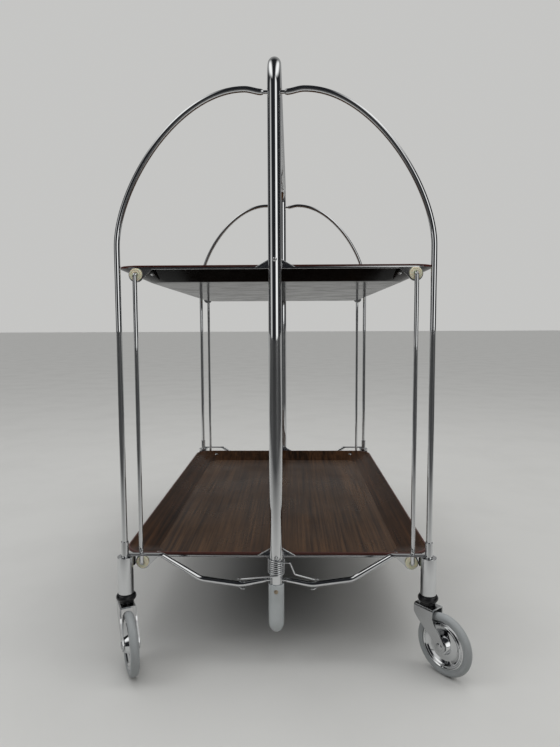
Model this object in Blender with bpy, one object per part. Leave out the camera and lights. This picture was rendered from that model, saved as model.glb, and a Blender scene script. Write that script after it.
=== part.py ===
"""Folding serving trolley: a centre frame with a handle, two tilting trays joined by link rods,
and four hinged leg frames on swivel casters.

Metres, +Z up. The floor is Z = 0, the trays run along Y, and the centre frame stands in the plane X = 0.
Each end is built in its own frame: the bar's axis is the origin and +Y points towards the middle.
The rear end is the front end turned by half a turn.
"""

import math

import bmesh
import bpy
from mathutils import Matrix, Vector

# Layout
FRAME_HEIGHT = 0.745
BAR_SPACING = 0.628
LEG_REACH = 0.188
UPPER_RIM = 0.497
LOWER_RIM = 0.136

# Facets round a turned piece, and round a pin or hole
ROUND_SEGMENTS = 12
PIN_SEGMENTS = 8

# Fits
GAP = 0.0003
OVERRUN = 0.004

# Centre frame
BAR_RADIUS = 0.008
BAR_WALL = 0.0012
BAR_SIDES = 12
BEND_STEPS = 6
HANDLE_BEND = 0.038
BAR_FOOT = 0.060
CAP_TOP = 0.1045
CAP_BOTTOM = 0.042
CAP_RADIUS = 0.0098
CAP_NOSE = 0.0138

# Leg frame hinges
NECK_TOP = 0.6925
NECK_LOW = 0.1085
NECK_RADIUS = 0.002
TUBE_END = 0.0128
HINGE_OFFSET = 0.0035
HINGE_PIN_RADIUS = 0.0012
EYE_RADIUS = 0.0028
EYE_HEIGHT = 0.005
SLOT_WIDTH = 0.0062
SLOT_HEIGHT = 0.007
DISC_HEIGHT = 0.003

# Leg frames
TUBE_RADIUS = 0.0035
TUBE_SHOULDER = 0.0004
LEG_FOOT = 0.1247
ARCH_SPRING = 0.515
ARCH_TOP = 0.696
ARCH_CROWN = 0.035
ARCH_RISE = 0.068
ARCH_RUN = 0.080
NECK_RISE = 0.008
FOOT_BAR_HEIGHT = 0.1419
FOOT_BAR_TURN = 0.1420
FOOT_BAR_KNEE = 0.0944
FOOT_BAR_KNEE_HEIGHT = 0.1095
FOOT_BAR_BELLY = 0.0444
FOOT_BAR_BELLY_HEIGHT = 0.1025
FOOT_BAR_BEND = 0.018

# Caster sockets
COLLAR_TOP = 0.157
COLLAR_RADIUS = 0.0047
SOCKET_TOP = 0.138
SOCKET_BOTTOM = 0.0912
SOCKET_RADIUS = 0.0096
SOCKET_EDGE = 0.0012
STEM_RADIUS = 0.004
STEM_TOP = 0.1195
BUMPER_TOP = 0.0908
BUMPER_BOTTOM = 0.0826
BUMPER_RADIUS = 0.0124
BUMPER_NECK_RADIUS = 0.0092
BUMPER_NECK_BOTTOM = 0.0797

# Casters
PLATE_TOP = 0.079
PLATE_THICKNESS = 0.0019
FORK_BACK = 0.0135
FORK_FRONT = 0.0145
FORK_CHEEK = 0.0105
FORK_HALF_GAP = 0.0085
FORK_END_RADIUS = 0.0075
TRAIL = 0.025
WHEEL_RADIUS = 0.0375
TYRE_HALF_WIDTH = 0.0052
TYRE_SHOULDER = 0.0028
RIM_RADIUS = 0.0288
RIM_HALF_WIDTH = 0.0042
RIM_LIP = 0.0018
WEB_RADIUS = 0.0205
WEB_HALF_WIDTH = 0.0018
HUB_RADIUS = 0.0088
HUB_HALF_WIDTH = 0.0078
AXLE_RADIUS = 0.0028
AXLE_HEAD_RADIUS = 0.0046
AXLE_HEAD_HEIGHT = 0.0016
WHEEL_SEGMENTS = 18
FRONT_LEFT_TRAIL_ANGLE = math.radians(-65)
FRONT_RIGHT_TRAIL_ANGLE = math.radians(-51)

# Trays
TRAY_HALF_WIDTH = 0.1966
TRAY_DEPTH = 0.018
TRAY_THICKNESS = 0.003
TRAY_SLOPE = 0.034
TRAY_EDGE = 0.0028
TRAY_CORNER = 0.028
TRAY_FLOOR_CORNER = 0.026
CORNER_POINTS = 6

# End rails and pivots
PIVOT_RISE = 0.0035
PIVOT_RADIUS = 0.002
PIVOT_HEAD_RADIUS = 0.0026
PIVOT_HEAD_HEIGHT = 0.002
SPACER_RADIUS = 0.0045
SPACER_LENGTH = 0.0065
RAIL_THICKNESS = 0.0016
RAIL_TOP = 0.0025
RAIL_BOTTOM = 0.0052
RAIL_END = 0.1798
LUG_FOOT = 0.0237
LUG_SHOULDER = 0.0101
LUG_SHOULDER_RISE = 0.0048
LUG_TOP = 0.006
LUG_RISE = 0.0085
BUSH_REACH = 0.170
BUSH_DROP = 0.0115
BUSH_RADIUS = 0.0077
BUSH_LENGTH = 0.0029
BUSH_LUG_RADIUS = 0.0092
BUSH_LUG_FOOT = 0.1505
TAB_REACH = 0.1535
TAB_WIDTH = 0.011
TAB_TAIL = 0.008
TAB_THICKNESS = 0.0014
RIVET_INSET = 0.013
RIVET_HEAD_RADIUS = 0.003
RIVET_HEAD_HEIGHT = 0.0011
RIVET_SHANK_RADIUS = 0.0014

# Link rods
ROD_RADIUS = 0.0027
ROD_PLANE = 0.0088
ROD_BEND = 0.003
ROD_TAIL = 0.0035

# Torsion springs
WIRE_RADIUS = 0.0009
COIL_RADIUS = 0.0092
COIL_PITCH = 0.0026
COIL_TURNS = 7
COIL_BOTTOM = 0.1173
POINTS_PER_TURN = 9
ARM_RADIUS = 0.003
HOOK_CLEARANCE = 0.0004
LEAST_WIRE_GAP = 0.0004
RIGHT_SHOULDER = Vector((0.0173, -0.0088, 0.1335))
RIGHT_ELBOW = Vector((0.0231, -0.0072, 0.1185))
RIGHT_WRIST = Vector((0.0478, -0.0010, 0.1090))
LEFT_WRIST = Vector((-0.0438, -0.0010, 0.1092))
HOOK_REACH = 0.0058
HOOK_STEP = 0.0042
HOOK_TAIL = 0.0050

BAR_Y = BAR_SPACING / 2
HINGE_EYE = EYE_HEIGHT / 2 + GAP
RAIL_PLANE = BAR_RADIUS + GAP + SPACER_LENGTH + GAP
TRAY_END = RAIL_PLANE + RAIL_THICKNESS + GAP
TRAY_HALF_LENGTH = BAR_Y - TRAY_END
BUSH_PLANE = RAIL_PLANE - GAP - BUSH_LENGTH
ROD_LENGTH = UPPER_RIM - LOWER_RIM
PLATE_BOTTOM = PLATE_TOP - PLATE_THICKNESS
SLOPE_ANGLE = math.atan2(TRAY_DEPTH - TRAY_EDGE, TRAY_SLOPE)

ENDS = (("front", -BAR_Y, 0.0), ("rear", BAR_Y, math.pi))
SIDE_NAMES = {("front", -1): "front_left", ("front", 1): "front_right",
              ("rear", -1): "rear_right", ("rear", 1): "rear_left"}
LEVELS = (("lower", NECK_LOW, LOWER_RIM), ("upper", NECK_TOP, UPPER_RIM))
TRAIL_ANGLES = {-1: FRONT_LEFT_TRAIL_ANGLE, 1: FRONT_RIGHT_TRAIL_ANGLE}


def clear_scene():
    for item in list(bpy.data.objects):
        bpy.data.objects.remove(item, do_unlink=True)


def make_material(name, colour, roughness, metallic=0.0):
    material = bpy.data.materials.new(name)
    material.use_nodes = True
    shader = material.node_tree.nodes["Principled BSDF"]
    shader.inputs["Base Color"].default_value = (*colour, 1.0)
    shader.inputs["Roughness"].default_value = roughness
    shader.inputs["Metallic"].default_value = metallic
    return material


def make_empty(name, parent=None, location=(0, 0, 0), turn=0.0):
    empty = bpy.data.objects.new(name, None)
    empty.parent = parent
    empty.location = location
    empty.rotation_euler = (0, 0, turn)
    bpy.context.collection.objects.link(empty)
    return empty


def make_object(name, mesh, material, parent=None, location=(0, 0, 0), smooth_angle=40):
    mesh.name = name
    mesh.materials.clear()
    mesh.materials.append(material)
    mesh.shade_smooth()
    mesh.set_sharp_from_angle(angle=math.radians(smooth_angle))
    item = bpy.data.objects.new(name, mesh)
    item.parent = parent
    item.location = location
    bpy.context.collection.objects.link(item)
    return item


def mesh_from_bmesh(bm):
    bmesh.ops.recalc_face_normals(bm, faces=bm.faces)
    mesh = bpy.data.meshes.new("shape")
    bm.to_mesh(mesh)
    bm.free()
    return mesh


def half_facet_turn(segments):
    """Turn about Z that brings the middle of a facet to -Y."""
    return Matrix.Rotation(math.pi / segments - math.pi / 2, 3, "Z")


def turned(profile, segments, flat_down=False):
    """Turn (radius, height) points about Z. A profile off the axis closes on itself."""
    bm = bmesh.new()
    points = [bm.verts.new((radius, 0, height)) for radius, height in profile]
    edges = [bm.edges.new(pair) for pair in zip(points, points[1:])]
    on_axis = profile[0][0] == 0 and profile[-1][0] == 0
    if not on_axis:
        edges.append(bm.edges.new((points[-1], points[0])))
    bmesh.ops.spin(bm, geom=points + edges, cent=(0, 0, 0), axis=(0, 0, 1),
                   angle=math.tau, steps=segments, use_merge=True)
    bmesh.ops.remove_doubles(bm, verts=bm.verts, dist=GAP / 1000)
    if flat_down:
        bmesh.ops.rotate(bm, verts=bm.verts, matrix=half_facet_turn(segments))
    return mesh_from_bmesh(bm)


def around(radius, segments):
    """Corner radius of a polygon whose flats touch a circle of this radius."""
    return radius / math.cos(math.pi / segments)


def rounded_path(corners, bend, steps):
    """Straight runs through the corners, with an arc of the bend radius at each one."""
    corners = [Vector(corner) for corner in corners]
    path = [corners[0]]
    for before, corner, after in zip(corners, corners[1:], corners[2:]):
        back = (before - corner).normalized()
        ahead = (after - corner).normalized()
        half_angle = back.angle(ahead) / 2
        centre = corner + (back + ahead).normalized() * bend / math.sin(half_angle)
        start = corner + back * bend / math.tan(half_angle)
        axis = ahead.cross(back)
        sweep = math.pi - 2 * half_angle
        for step in range(steps + 1):
            turn = Matrix.Rotation(sweep * step / steps, 3, axis)
            path.append(centre + turn @ (start - centre))
    path.append(corners[-1])
    return path


def tube(path, radius, sides, shares=None):
    """A round tube along the path; shares scale its radius point by point."""
    curve = bpy.data.curves.new("tube", "CURVE")
    curve.dimensions = "3D"
    curve.bevel_depth = radius
    curve.bevel_resolution = (sides - 4) // 2
    curve.use_fill_caps = True
    spline = curve.splines.new("POLY")
    spline.points.add(len(path) - 1)
    for index, point in enumerate(path):
        spline.points[index].co = (*point, 1.0)
        spline.points[index].radius = shares[index] if shares else 1.0
    holder = bpy.data.objects.new("tube", curve)
    bpy.context.collection.objects.link(holder)
    bpy.context.view_layer.update()
    mesh = bpy.data.meshes.new_from_object(holder.evaluated_get(bpy.context.evaluated_depsgraph_get()))
    bpy.data.objects.remove(holder, do_unlink=True)
    bpy.data.curves.remove(curve)
    bm = bmesh.new()
    bm.from_mesh(mesh)
    bpy.data.meshes.remove(mesh)
    bmesh.ops.remove_doubles(bm, verts=bm.verts, dist=GAP / 1000)
    return mesh_from_bmesh(bm)


def cylinder(radius, low, high, segments, centre=(0, 0), axis="Z", flat_down=False):
    """A closed cylinder along Z or Y, from low to high; centre is its other two coordinates."""
    bm = bmesh.new()
    bmesh.ops.create_cone(bm, cap_ends=True, segments=segments, radius1=radius, radius2=radius,
                          depth=high - low)
    if flat_down:
        bmesh.ops.rotate(bm, verts=bm.verts, matrix=half_facet_turn(segments))
    middle = (low + high) / 2
    if axis == "Y":
        bmesh.ops.rotate(bm, verts=bm.verts, matrix=Matrix.Rotation(math.pi / 2, 3, "X"))
        place = (centre[0], middle, centre[1])
    else:
        place = (centre[0], centre[1], middle)
    bmesh.ops.translate(bm, verts=bm.verts, vec=place)
    return mesh_from_bmesh(bm)


def box(low, high):
    bm = bmesh.new()
    bmesh.ops.create_cube(bm, size=1)
    size = [b - a for a, b in zip(low, high)]
    middle = [(a + b) / 2 for a, b in zip(low, high)]
    bmesh.ops.scale(bm, verts=bm.verts, vec=size)
    bmesh.ops.translate(bm, verts=bm.verts, vec=middle)
    return mesh_from_bmesh(bm)


def extruded(outline, low, high):
    """Extrude an outline of (x, z) points along Y."""
    bm = bmesh.new()
    face = bm.faces.new([bm.verts.new((x, low, z)) for x, z in outline])
    grown = bmesh.ops.extrude_face_region(bm, geom=[face])
    moved = [part for part in grown["geom"] if isinstance(part, bmesh.types.BMVert)]
    bmesh.ops.translate(bm, verts=moved, vec=(0, high - low, 0))
    return mesh_from_bmesh(bm)


def combine(mesh, operation, tools, solver="EXACT"):
    """Apply a Boolean with each tool mesh in turn and return the new mesh."""
    base = bpy.data.objects.new("base", mesh)
    bpy.context.collection.objects.link(base)
    cutters = []
    for index, tool in enumerate(tools):
        cutter = bpy.data.objects.new(f"cutter_{index}", tool)
        cutter.hide_render = True
        cutter.display_type = "WIRE"
        bpy.context.collection.objects.link(cutter)
        cutters.append(cutter)
        modifier = base.modifiers.new("Boolean", "BOOLEAN")
        modifier.operation = operation
        modifier.solver = solver
        modifier.object = cutter
    bpy.context.view_layer.update()
    result = bpy.data.meshes.new_from_object(base.evaluated_get(bpy.context.evaluated_depsgraph_get()))
    for item in (base, *cutters):
        bpy.data.objects.remove(item, do_unlink=True)
    return result


def moved(mesh, matrix):
    mesh.transform(matrix)
    return mesh


def arc(centre, radius, start, end, steps):
    """Points (x, z) round a centre, angles in degrees."""
    angles = [math.radians(start + (end - start) * step / steps) for step in range(steps + 1)]
    return [(centre[0] + radius * math.cos(a), centre[1] + radius * math.sin(a)) for a in angles]


def centre_frame_mesh():
    top = FRAME_HEIGHT - BAR_RADIUS
    corners = [(0, -BAR_Y, BAR_FOOT), (0, -BAR_Y, top), (0, BAR_Y, top), (0, BAR_Y, BAR_FOOT)]
    path = rounded_path(corners, HANDLE_BEND, BEND_STEPS)
    below = Vector((0, 0, -OVERRUN))
    bore_path = [path[0] + below, *path[1:-1], path[-1] + below]
    cutters = [tube(bore_path, BAR_RADIUS - BAR_WALL, BAR_SIDES)]
    shell = combine(tube(path, BAR_RADIUS, BAR_SIDES), "DIFFERENCE", cutters)
    side = BAR_RADIUS + OVERRUN
    cutters = []
    for y in (-BAR_Y, BAR_Y):
        for height in (NECK_LOW, NECK_TOP):
            low = (-side, y - SLOT_WIDTH / 2, height - SLOT_HEIGHT / 2)
            high = (side, y + SLOT_WIDTH / 2, height + SLOT_HEIGHT / 2)
            cutters.append(box(low, high))
        for rim in (LOWER_RIM, UPPER_RIM):
            hole = around(PIVOT_RADIUS + GAP, PIN_SEGMENTS)
            centre = (0, rim + PIVOT_RISE)
            cutters.append(cylinder(hole, y - side, y + side, PIN_SEGMENTS, centre, "Y", True))
    return combine(shell, "DIFFERENCE", cutters, "MANIFOLD")


def end_cap_mesh():
    bore = around(BAR_RADIUS + GAP, ROUND_SEGMENTS)
    angles = [math.radians(90 * step / 4) for step in range(5)]
    nose = [(CAP_RADIUS * math.sin(a), CAP_BOTTOM + CAP_NOSE * (1 - math.cos(a))) for a in angles]
    nose[0] = (0, CAP_BOTTOM)
    seat = BAR_FOOT - GAP
    profile = [*nose, (CAP_RADIUS, CAP_TOP), (bore, CAP_TOP), (bore, seat), (0, seat)]
    return turned(profile, ROUND_SEGMENTS)


def headed_pin(head_radius, head_height, shank_radius, seat, end):
    """A domed head whose flat side is at the seat, and a shank up to the end, along +Y."""
    angles = [math.radians(90 * step / 2) for step in range(3)]
    dome = [(head_radius * math.sin(a), seat - head_height * math.cos(a)) for a in angles]
    dome[0] = (0, seat - head_height)
    profile = [*dome, (shank_radius, seat), (shank_radius, end), (0, end)]
    return moved(turned(profile, PIN_SEGMENTS), Matrix.Rotation(-math.pi / 2, 4, "X"))


def tray_pivot_mesh(height):
    seat = -(BAR_RADIUS + GAP)
    end = RAIL_PLANE + RAIL_THICKNESS
    pin = headed_pin(PIVOT_HEAD_RADIUS, PIVOT_HEAD_HEIGHT, PIVOT_RADIUS, seat, end)
    spacer = cylinder(SPACER_RADIUS, BAR_RADIUS + GAP, RAIL_PLANE - GAP, PIN_SEGMENTS, axis="Y")
    return moved(combine(pin, "UNION", [spacer]), Matrix.Translation((0, 0, height)))


def hinge_core_mesh(height):
    """Two discs inside the bar, joined by the two pins that the leg frames turn on."""
    disc_radius = (BAR_RADIUS - BAR_WALL) * math.cos(math.pi / BAR_SIDES) - GAP
    low = height - HINGE_EYE
    high = height + HINGE_EYE
    bite = DISC_HEIGHT / 2
    discs = [cylinder(disc_radius, low - DISC_HEIGHT, low, PIN_SEGMENTS)]
    discs.append(cylinder(disc_radius, high, high + DISC_HEIGHT, PIN_SEGMENTS))
    pins = [cylinder(HINGE_PIN_RADIUS, low - bite, high + bite, 6, (x, 0))
            for x in (-HINGE_OFFSET, HINGE_OFFSET)]
    return combine(pins[0], "UNION", [*discs, pins[1]])


def eye_and_hole(height):
    low = height - EYE_HEIGHT / 2
    high = height + EYE_HEIGHT / 2
    eye = cylinder(EYE_RADIUS, low, high, ROUND_SEGMENTS)
    bore = around(HINGE_PIN_RADIUS + GAP, PIN_SEGMENTS)
    hole = cylinder(bore, low - OVERRUN, high + OVERRUN, PIN_SEGMENTS)
    return eye, hole


def hung_tube(path, side, height):
    """A tube that narrows to a neck at its last two points and ends in a hinge eye at X = 0."""
    outward = [Vector((side * (point.x - HINGE_OFFSET), point.y, point.z)) for point in path]
    shares = [1.0] * (len(path) - 2) + [NECK_RADIUS / TUBE_RADIUS] * 2
    eye, hole = eye_and_hole(height)
    whole = combine(tube(outward, TUBE_RADIUS, 8, shares), "UNION", [eye])
    return combine(whole, "DIFFERENCE", [hole])


def neck_points(height):
    return [Vector((TUBE_END - TUBE_SHOULDER, 0, height)), Vector((HINGE_OFFSET, 0, height))]


def bezier(start, first, second, end, steps):
    """A cubic curve through start and end, pulled towards the two points between."""
    points = []
    for step in range(steps + 1):
        t = step / steps
        u = 1 - t
        points.append(start * u ** 3 + first * 3 * u * u * t + second * 3 * u * t * t + end * t ** 3)
    return points


def leg_path():
    foot = Vector((LEG_REACH, 0, LEG_FOOT))
    spring = Vector((LEG_REACH, 0, ARCH_SPRING))
    crown = Vector((ARCH_CROWN, 0, ARCH_TOP))
    tip = Vector((TUBE_END, 0, NECK_TOP))
    rise = Vector((0, 0, ARCH_RISE))
    run = Vector((ARCH_RUN, 0, 0))
    ease = Vector((NECK_RISE, 0, 0))
    arch = bezier(spring, spring + rise, crown + run, crown, 11)
    dip = bezier(crown, crown - ease, tip + ease, tip, 2)
    return [foot, *arch, *dip[1:], *neck_points(NECK_TOP)]


def foot_bar_path():
    start = (LEG_REACH - COLLAR_RADIUS - GAP, 0, FOOT_BAR_HEIGHT)
    turn = (FOOT_BAR_TURN, 0, FOOT_BAR_HEIGHT)
    knee = (FOOT_BAR_KNEE, 0, FOOT_BAR_KNEE_HEIGHT)
    belly = (FOOT_BAR_BELLY, 0, FOOT_BAR_BELLY_HEIGHT)
    tip = (TUBE_END, 0, NECK_LOW)
    path = rounded_path([start, turn, knee, belly, tip], FOOT_BAR_BEND, 2)
    return [*path, *neck_points(NECK_LOW)]


def caster_socket_mesh():
    edge = SOCKET_RADIUS - SOCKET_EDGE
    leg_bore = around(TUBE_RADIUS + GAP, ROUND_SEGMENTS)
    stem_bore = around(STEM_RADIUS + GAP, ROUND_SEGMENTS)
    leg_seat = LEG_FOOT - GAP
    stem_seat = STEM_TOP + GAP
    outer = [(SOCKET_RADIUS, SOCKET_BOTTOM), (SOCKET_RADIUS, SOCKET_TOP - SOCKET_EDGE), (edge, SOCKET_TOP),
             (COLLAR_RADIUS, SOCKET_TOP), (COLLAR_RADIUS, COLLAR_TOP)]
    inner = [(leg_bore, COLLAR_TOP), (leg_bore, leg_seat), (0, leg_seat)]
    lower = [(0, stem_seat), (stem_bore, stem_seat), (stem_bore, SOCKET_BOTTOM)]
    return turned([*lower, *outer, *inner], ROUND_SEGMENTS)


def bumper_mesh():
    bore = around(STEM_RADIUS + GAP, ROUND_SEGMENTS)
    middle = (BUMPER_TOP + BUMPER_BOTTOM) / 2
    half = (BUMPER_TOP - BUMPER_BOTTOM) / 2
    bead = arc((BUMPER_RADIUS - half, middle), half, -60, 90, 3)
    profile = [(bore, BUMPER_NECK_BOTTOM), (BUMPER_NECK_RADIUS, BUMPER_NECK_BOTTOM),
               (BUMPER_NECK_RADIUS, BUMPER_BOTTOM), *bead, (bore, BUMPER_TOP)]
    return turned(profile, ROUND_SEGMENTS)


def fork_mesh():
    """A folded bracket with its stem and riveted axle: +X is the trail, the swivel axis is at X = 0."""
    end = arc((TRAIL, WHEEL_RADIUS), FORK_END_RADIUS, 212, 392, 6)
    shoulder = PLATE_TOP - FORK_CHEEK
    outline = [(-FORK_BACK, PLATE_TOP), (-FORK_BACK, shoulder), *end, (FORK_FRONT, shoulder),
               (FORK_FRONT, PLATE_TOP)]
    side = FORK_HALF_GAP + PLATE_THICKNESS
    reach = TRAIL + FORK_END_RADIUS + OVERRUN
    body = extruded(outline, -side, side)
    room = box((-reach, -FORK_HALF_GAP, -OVERRUN), (reach, FORK_HALF_GAP, PLATE_BOTTOM))
    stem = cylinder(STEM_RADIUS, PLATE_BOTTOM + GAP, STEM_TOP, PIN_SEGMENTS)
    axle = moved(axle_mesh(), Matrix.Translation((TRAIL, 0, WHEEL_RADIUS)))
    return combine(combine(body, "DIFFERENCE", [room]), "UNION", [stem, axle])


def wheel_profile_tyre():
    scale = around(1, WHEEL_SEGMENTS)
    tread = WHEEL_RADIUS * scale
    inner = (RIM_RADIUS + GAP) * scale
    side = TYRE_HALF_WIDTH
    flat = side - TYRE_SHOULDER
    half = [(tread, flat), (tread - TYRE_SHOULDER, side), (inner, RIM_HALF_WIDTH)]
    return half + [(radius, -width) for radius, width in reversed(half)]


def wheel_profile_disc():
    bore = around(AXLE_RADIUS + GAP, WHEEL_SEGMENTS)
    lip = RIM_RADIUS - RIM_LIP
    half = [(bore, HUB_HALF_WIDTH), (HUB_RADIUS, HUB_HALF_WIDTH), (HUB_RADIUS + RIM_LIP, WEB_HALF_WIDTH),
            (WEB_RADIUS, WEB_HALF_WIDTH), (lip, RIM_HALF_WIDTH), (RIM_RADIUS, RIM_HALF_WIDTH)]
    return half + [(radius, -width) for radius, width in reversed(half)]


def wheel_mesh(profile):
    return moved(turned(profile, WHEEL_SEGMENTS, flat_down=True), Matrix.Rotation(math.pi / 2, 4, "X"))


def axle_mesh():
    """A rivet-headed axle along Y, with a head closed over each cheek of the fork."""
    seat = FORK_HALF_GAP + PLATE_THICKNESS - GAP
    angles = [math.radians(90 * step / 2) for step in range(3)]
    dome = [(AXLE_HEAD_RADIUS * math.sin(a), seat + AXLE_HEAD_HEIGHT * math.cos(a)) for a in angles]
    dome[0] = (0, seat + AXLE_HEAD_HEIGHT)
    half = [*dome, (AXLE_RADIUS, seat)]
    profile = half + [(radius, -y) for radius, y in reversed(half)]
    return moved(turned(profile, PIN_SEGMENTS), Matrix.Rotation(math.pi / 2, 4, "X"))


def tray_loop(inset, corner, height):
    """A rounded rectangle, drawn in from the tray's outer edge."""
    points = []
    half_x = TRAY_HALF_WIDTH - inset - corner
    half_y = TRAY_HALF_LENGTH - inset - corner
    for quarter, (sign_x, sign_y) in enumerate(((1, 1), (-1, 1), (-1, -1), (1, -1))):
        for step in range(CORNER_POINTS):
            angle = (quarter + step / (CORNER_POINTS - 1)) * math.pi / 2
            x = sign_x * half_x + corner * math.cos(angle)
            y = sign_y * half_y + corner * math.sin(angle)
            points.append((x, y, height))
    return points


def tray_mesh():
    """A dished tray whose rim top is at Z = 0, with holes for the rail rivets."""
    floor_inset = TRAY_SLOPE + TRAY_THICKNESS / 2
    rings = [tray_loop(TRAY_SLOPE, TRAY_FLOOR_CORNER, -TRAY_DEPTH),
             tray_loop(0, TRAY_CORNER, -TRAY_EDGE),
             tray_loop(0, TRAY_CORNER, 0),
             tray_loop(TRAY_EDGE, TRAY_CORNER - TRAY_EDGE, 0),
             tray_loop(floor_inset, TRAY_FLOOR_CORNER, TRAY_THICKNESS - TRAY_DEPTH)]
    bm = bmesh.new()
    rows = [[bm.verts.new(point) for point in ring] for ring in rings]
    bm.faces.new(rows[0])
    bm.faces.new(rows[-1])
    for lower, upper in zip(rows, rows[1:]):
        for index in range(len(lower)):
            after = (index + 1) % len(lower)
            bm.faces.new((lower[index], lower[after], upper[after], upper[index]))
    shell = mesh_from_bmesh(bm)
    holes = []
    for end_y, turn in ((-BAR_Y, 0), (BAR_Y, math.pi)):
        for side in (-1, 1):
            place = Matrix.Translation((0, end_y, 0)) @ Matrix.Rotation(turn, 4, "Z") @ rivet_place(side)
            radius = around(RIVET_SHANK_RADIUS + GAP, PIN_SEGMENTS)
            holes.append(moved(cylinder(radius, -TRAY_DEPTH, TRAY_DEPTH, PIN_SEGMENTS), place))
    return combine(shell, "DIFFERENCE", holes)


def rivet_place(side):
    """Centre of a rivet on the tray's lower sloped face, with +Z square to the slope."""
    drop = TRAY_EDGE + RIVET_INSET * math.tan(SLOPE_ANGLE)
    place = Matrix.Translation((side * TAB_REACH, TRAY_END + RIVET_INSET, -drop))
    return place @ Matrix.Rotation(-SLOPE_ANGLE, 4, "X")


def rail_outline():
    """Outline of the rail, counted from the rim's top at Z = 0, as (x, z) points."""
    right = [(BUSH_LUG_FOOT, -RAIL_BOTTOM)]
    right += arc((BUSH_REACH, -BUSH_DROP), BUSH_LUG_RADIUS, -140, 0, 6)
    right += [(RAIL_END, -RAIL_TOP), (LUG_FOOT, -RAIL_TOP), (LUG_SHOULDER, LUG_SHOULDER_RISE),
              (LUG_TOP, LUG_RISE)]
    return right + [(-x, z) for x, z in reversed(right)]


def end_rail_mesh():
    plate = extruded(rail_outline(), RAIL_PLANE, RAIL_PLANE + RAIL_THICKNESS)
    tabs = []
    for side in (-1, 1):
        root = (RIVET_INSET + GAP + RAIL_THICKNESS / 2) / math.cos(SLOPE_ANGLE)
        low = (-TAB_WIDTH / 2, -root, -GAP - TAB_THICKNESS)
        high = (TAB_WIDTH / 2, TAB_TAIL, -GAP)
        tabs.append(moved(box(low, high), rivet_place(side)))
    rivets = [rivet_mesh(side) for side in (-1, 1)]
    whole = combine(plate, "UNION", tabs + rivets)
    ends = (RAIL_PLANE - OVERRUN, RAIL_PLANE + RAIL_THICKNESS + OVERRUN)
    holes = [cylinder(around(PIVOT_RADIUS + GAP, PIN_SEGMENTS), *ends, PIN_SEGMENTS, (0, PIVOT_RISE), "Y")]
    for side in (-1, 1):
        place = (side * BUSH_REACH, -BUSH_DROP)
        radius = around(ROD_RADIUS + GAP, PIN_SEGMENTS)
        holes.append(cylinder(radius, *ends, PIN_SEGMENTS, place, "Y"))
    return combine(whole, "DIFFERENCE", holes)


def bush_mesh():
    """A bush whose bore's axis is Y, at the origin."""
    bore = around(ROD_RADIUS + GAP, ROUND_SEGMENTS)
    half = BUSH_LENGTH / 2
    profile = [(bore, -half), (BUSH_RADIUS, -half), (BUSH_RADIUS, half), (bore, half)]
    place = Matrix.Translation((0, BUSH_PLANE + half, 0))
    return moved(turned(profile, ROUND_SEGMENTS), place @ Matrix.Rotation(math.pi / 2, 4, "X"))


def rivet_mesh(side):
    """A domed rivet on the tray's sloped side, closed into the rail's tab below it."""
    inner_run = TRAY_SLOPE + TRAY_THICKNESS / 2 - TRAY_EDGE
    inner_drop = (RIVET_INSET - TRAY_EDGE) * (TRAY_DEPTH - TRAY_THICKNESS) / inner_run
    outer_drop = TRAY_EDGE + RIVET_INSET * math.tan(SLOPE_ANGLE)
    top = (outer_drop - inner_drop) * math.cos(SLOPE_ANGLE)
    angles = [math.radians(90 * step / 2) for step in range(3)]
    dome = [(RIVET_HEAD_RADIUS * math.sin(a), top + GAP + RIVET_HEAD_HEIGHT * math.cos(a)) for a in angles]
    dome[0] = (0, top + GAP + RIVET_HEAD_HEIGHT)
    end = -GAP - TAB_THICKNESS / 2
    profile = [*dome, (RIVET_SHANK_RADIUS, top + GAP), (RIVET_SHANK_RADIUS, end), (0, end)]
    return moved(turned(profile, PIN_SEGMENTS), rivet_place(side))


def rod_mesh():
    """A rod hung from its upper bush at the origin, with both ends bent towards +Y."""
    tail = RAIL_PLANE + RAIL_THICKNESS + ROD_TAIL
    corners = [(0, tail, 0), (0, ROD_PLANE, 0), (0, ROD_PLANE, -ROD_LENGTH), (0, tail, -ROD_LENGTH)]
    return tube(rounded_path(corners, ROD_BEND, 3), ROD_RADIUS, 8)


def coil_points():
    """One unbroken helix round the bar, from its front to its front."""
    count = COIL_TURNS * POINTS_PER_TURN
    radius = around(COIL_RADIUS, POINTS_PER_TURN)
    points = []
    for index in range(count + 1):
        angle = math.tau * index / POINTS_PER_TURN - math.pi / 2
        height = COIL_BOTTOM + COIL_PITCH * index / POINTS_PER_TURN
        points.append(Vector((radius * math.cos(angle), radius * math.sin(angle), height)))
    return points


def hook_corners(wrist, side):
    """From above the foot bar, down behind it and back below it."""
    behind = TUBE_RADIUS + WIRE_RADIUS + HOOK_CLEARANCE
    drop = wrist.z - FOOT_BAR_BELLY_HEIGHT
    over = Vector((wrist.x + side * HOOK_STEP, behind, wrist.z - drop / 4))
    under = over - Vector((0, 0, HOOK_REACH + HOOK_STEP / 2))
    below = Vector((wrist.x, 0, FOOT_BAR_BELLY_HEIGHT - HOOK_REACH))
    tail = below + Vector((-side * HOOK_TAIL, 0, 0))
    return [over, under, below, tail]


def spring_path():
    coil = coil_points()
    right = [coil[-1], RIGHT_SHOULDER, RIGHT_ELBOW, RIGHT_WRIST, *hook_corners(RIGHT_WRIST, 1)]
    left = [coil[0], LEFT_WRIST, *hook_corners(LEFT_WRIST, -1)]
    right_arm = rounded_path(right, ARM_RADIUS / 2, 2)
    left_arm = rounded_path(left, ARM_RADIUS / 2, 2)
    return [*reversed(left_arm[1:]), *coil, *right_arm[1:]]


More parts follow.
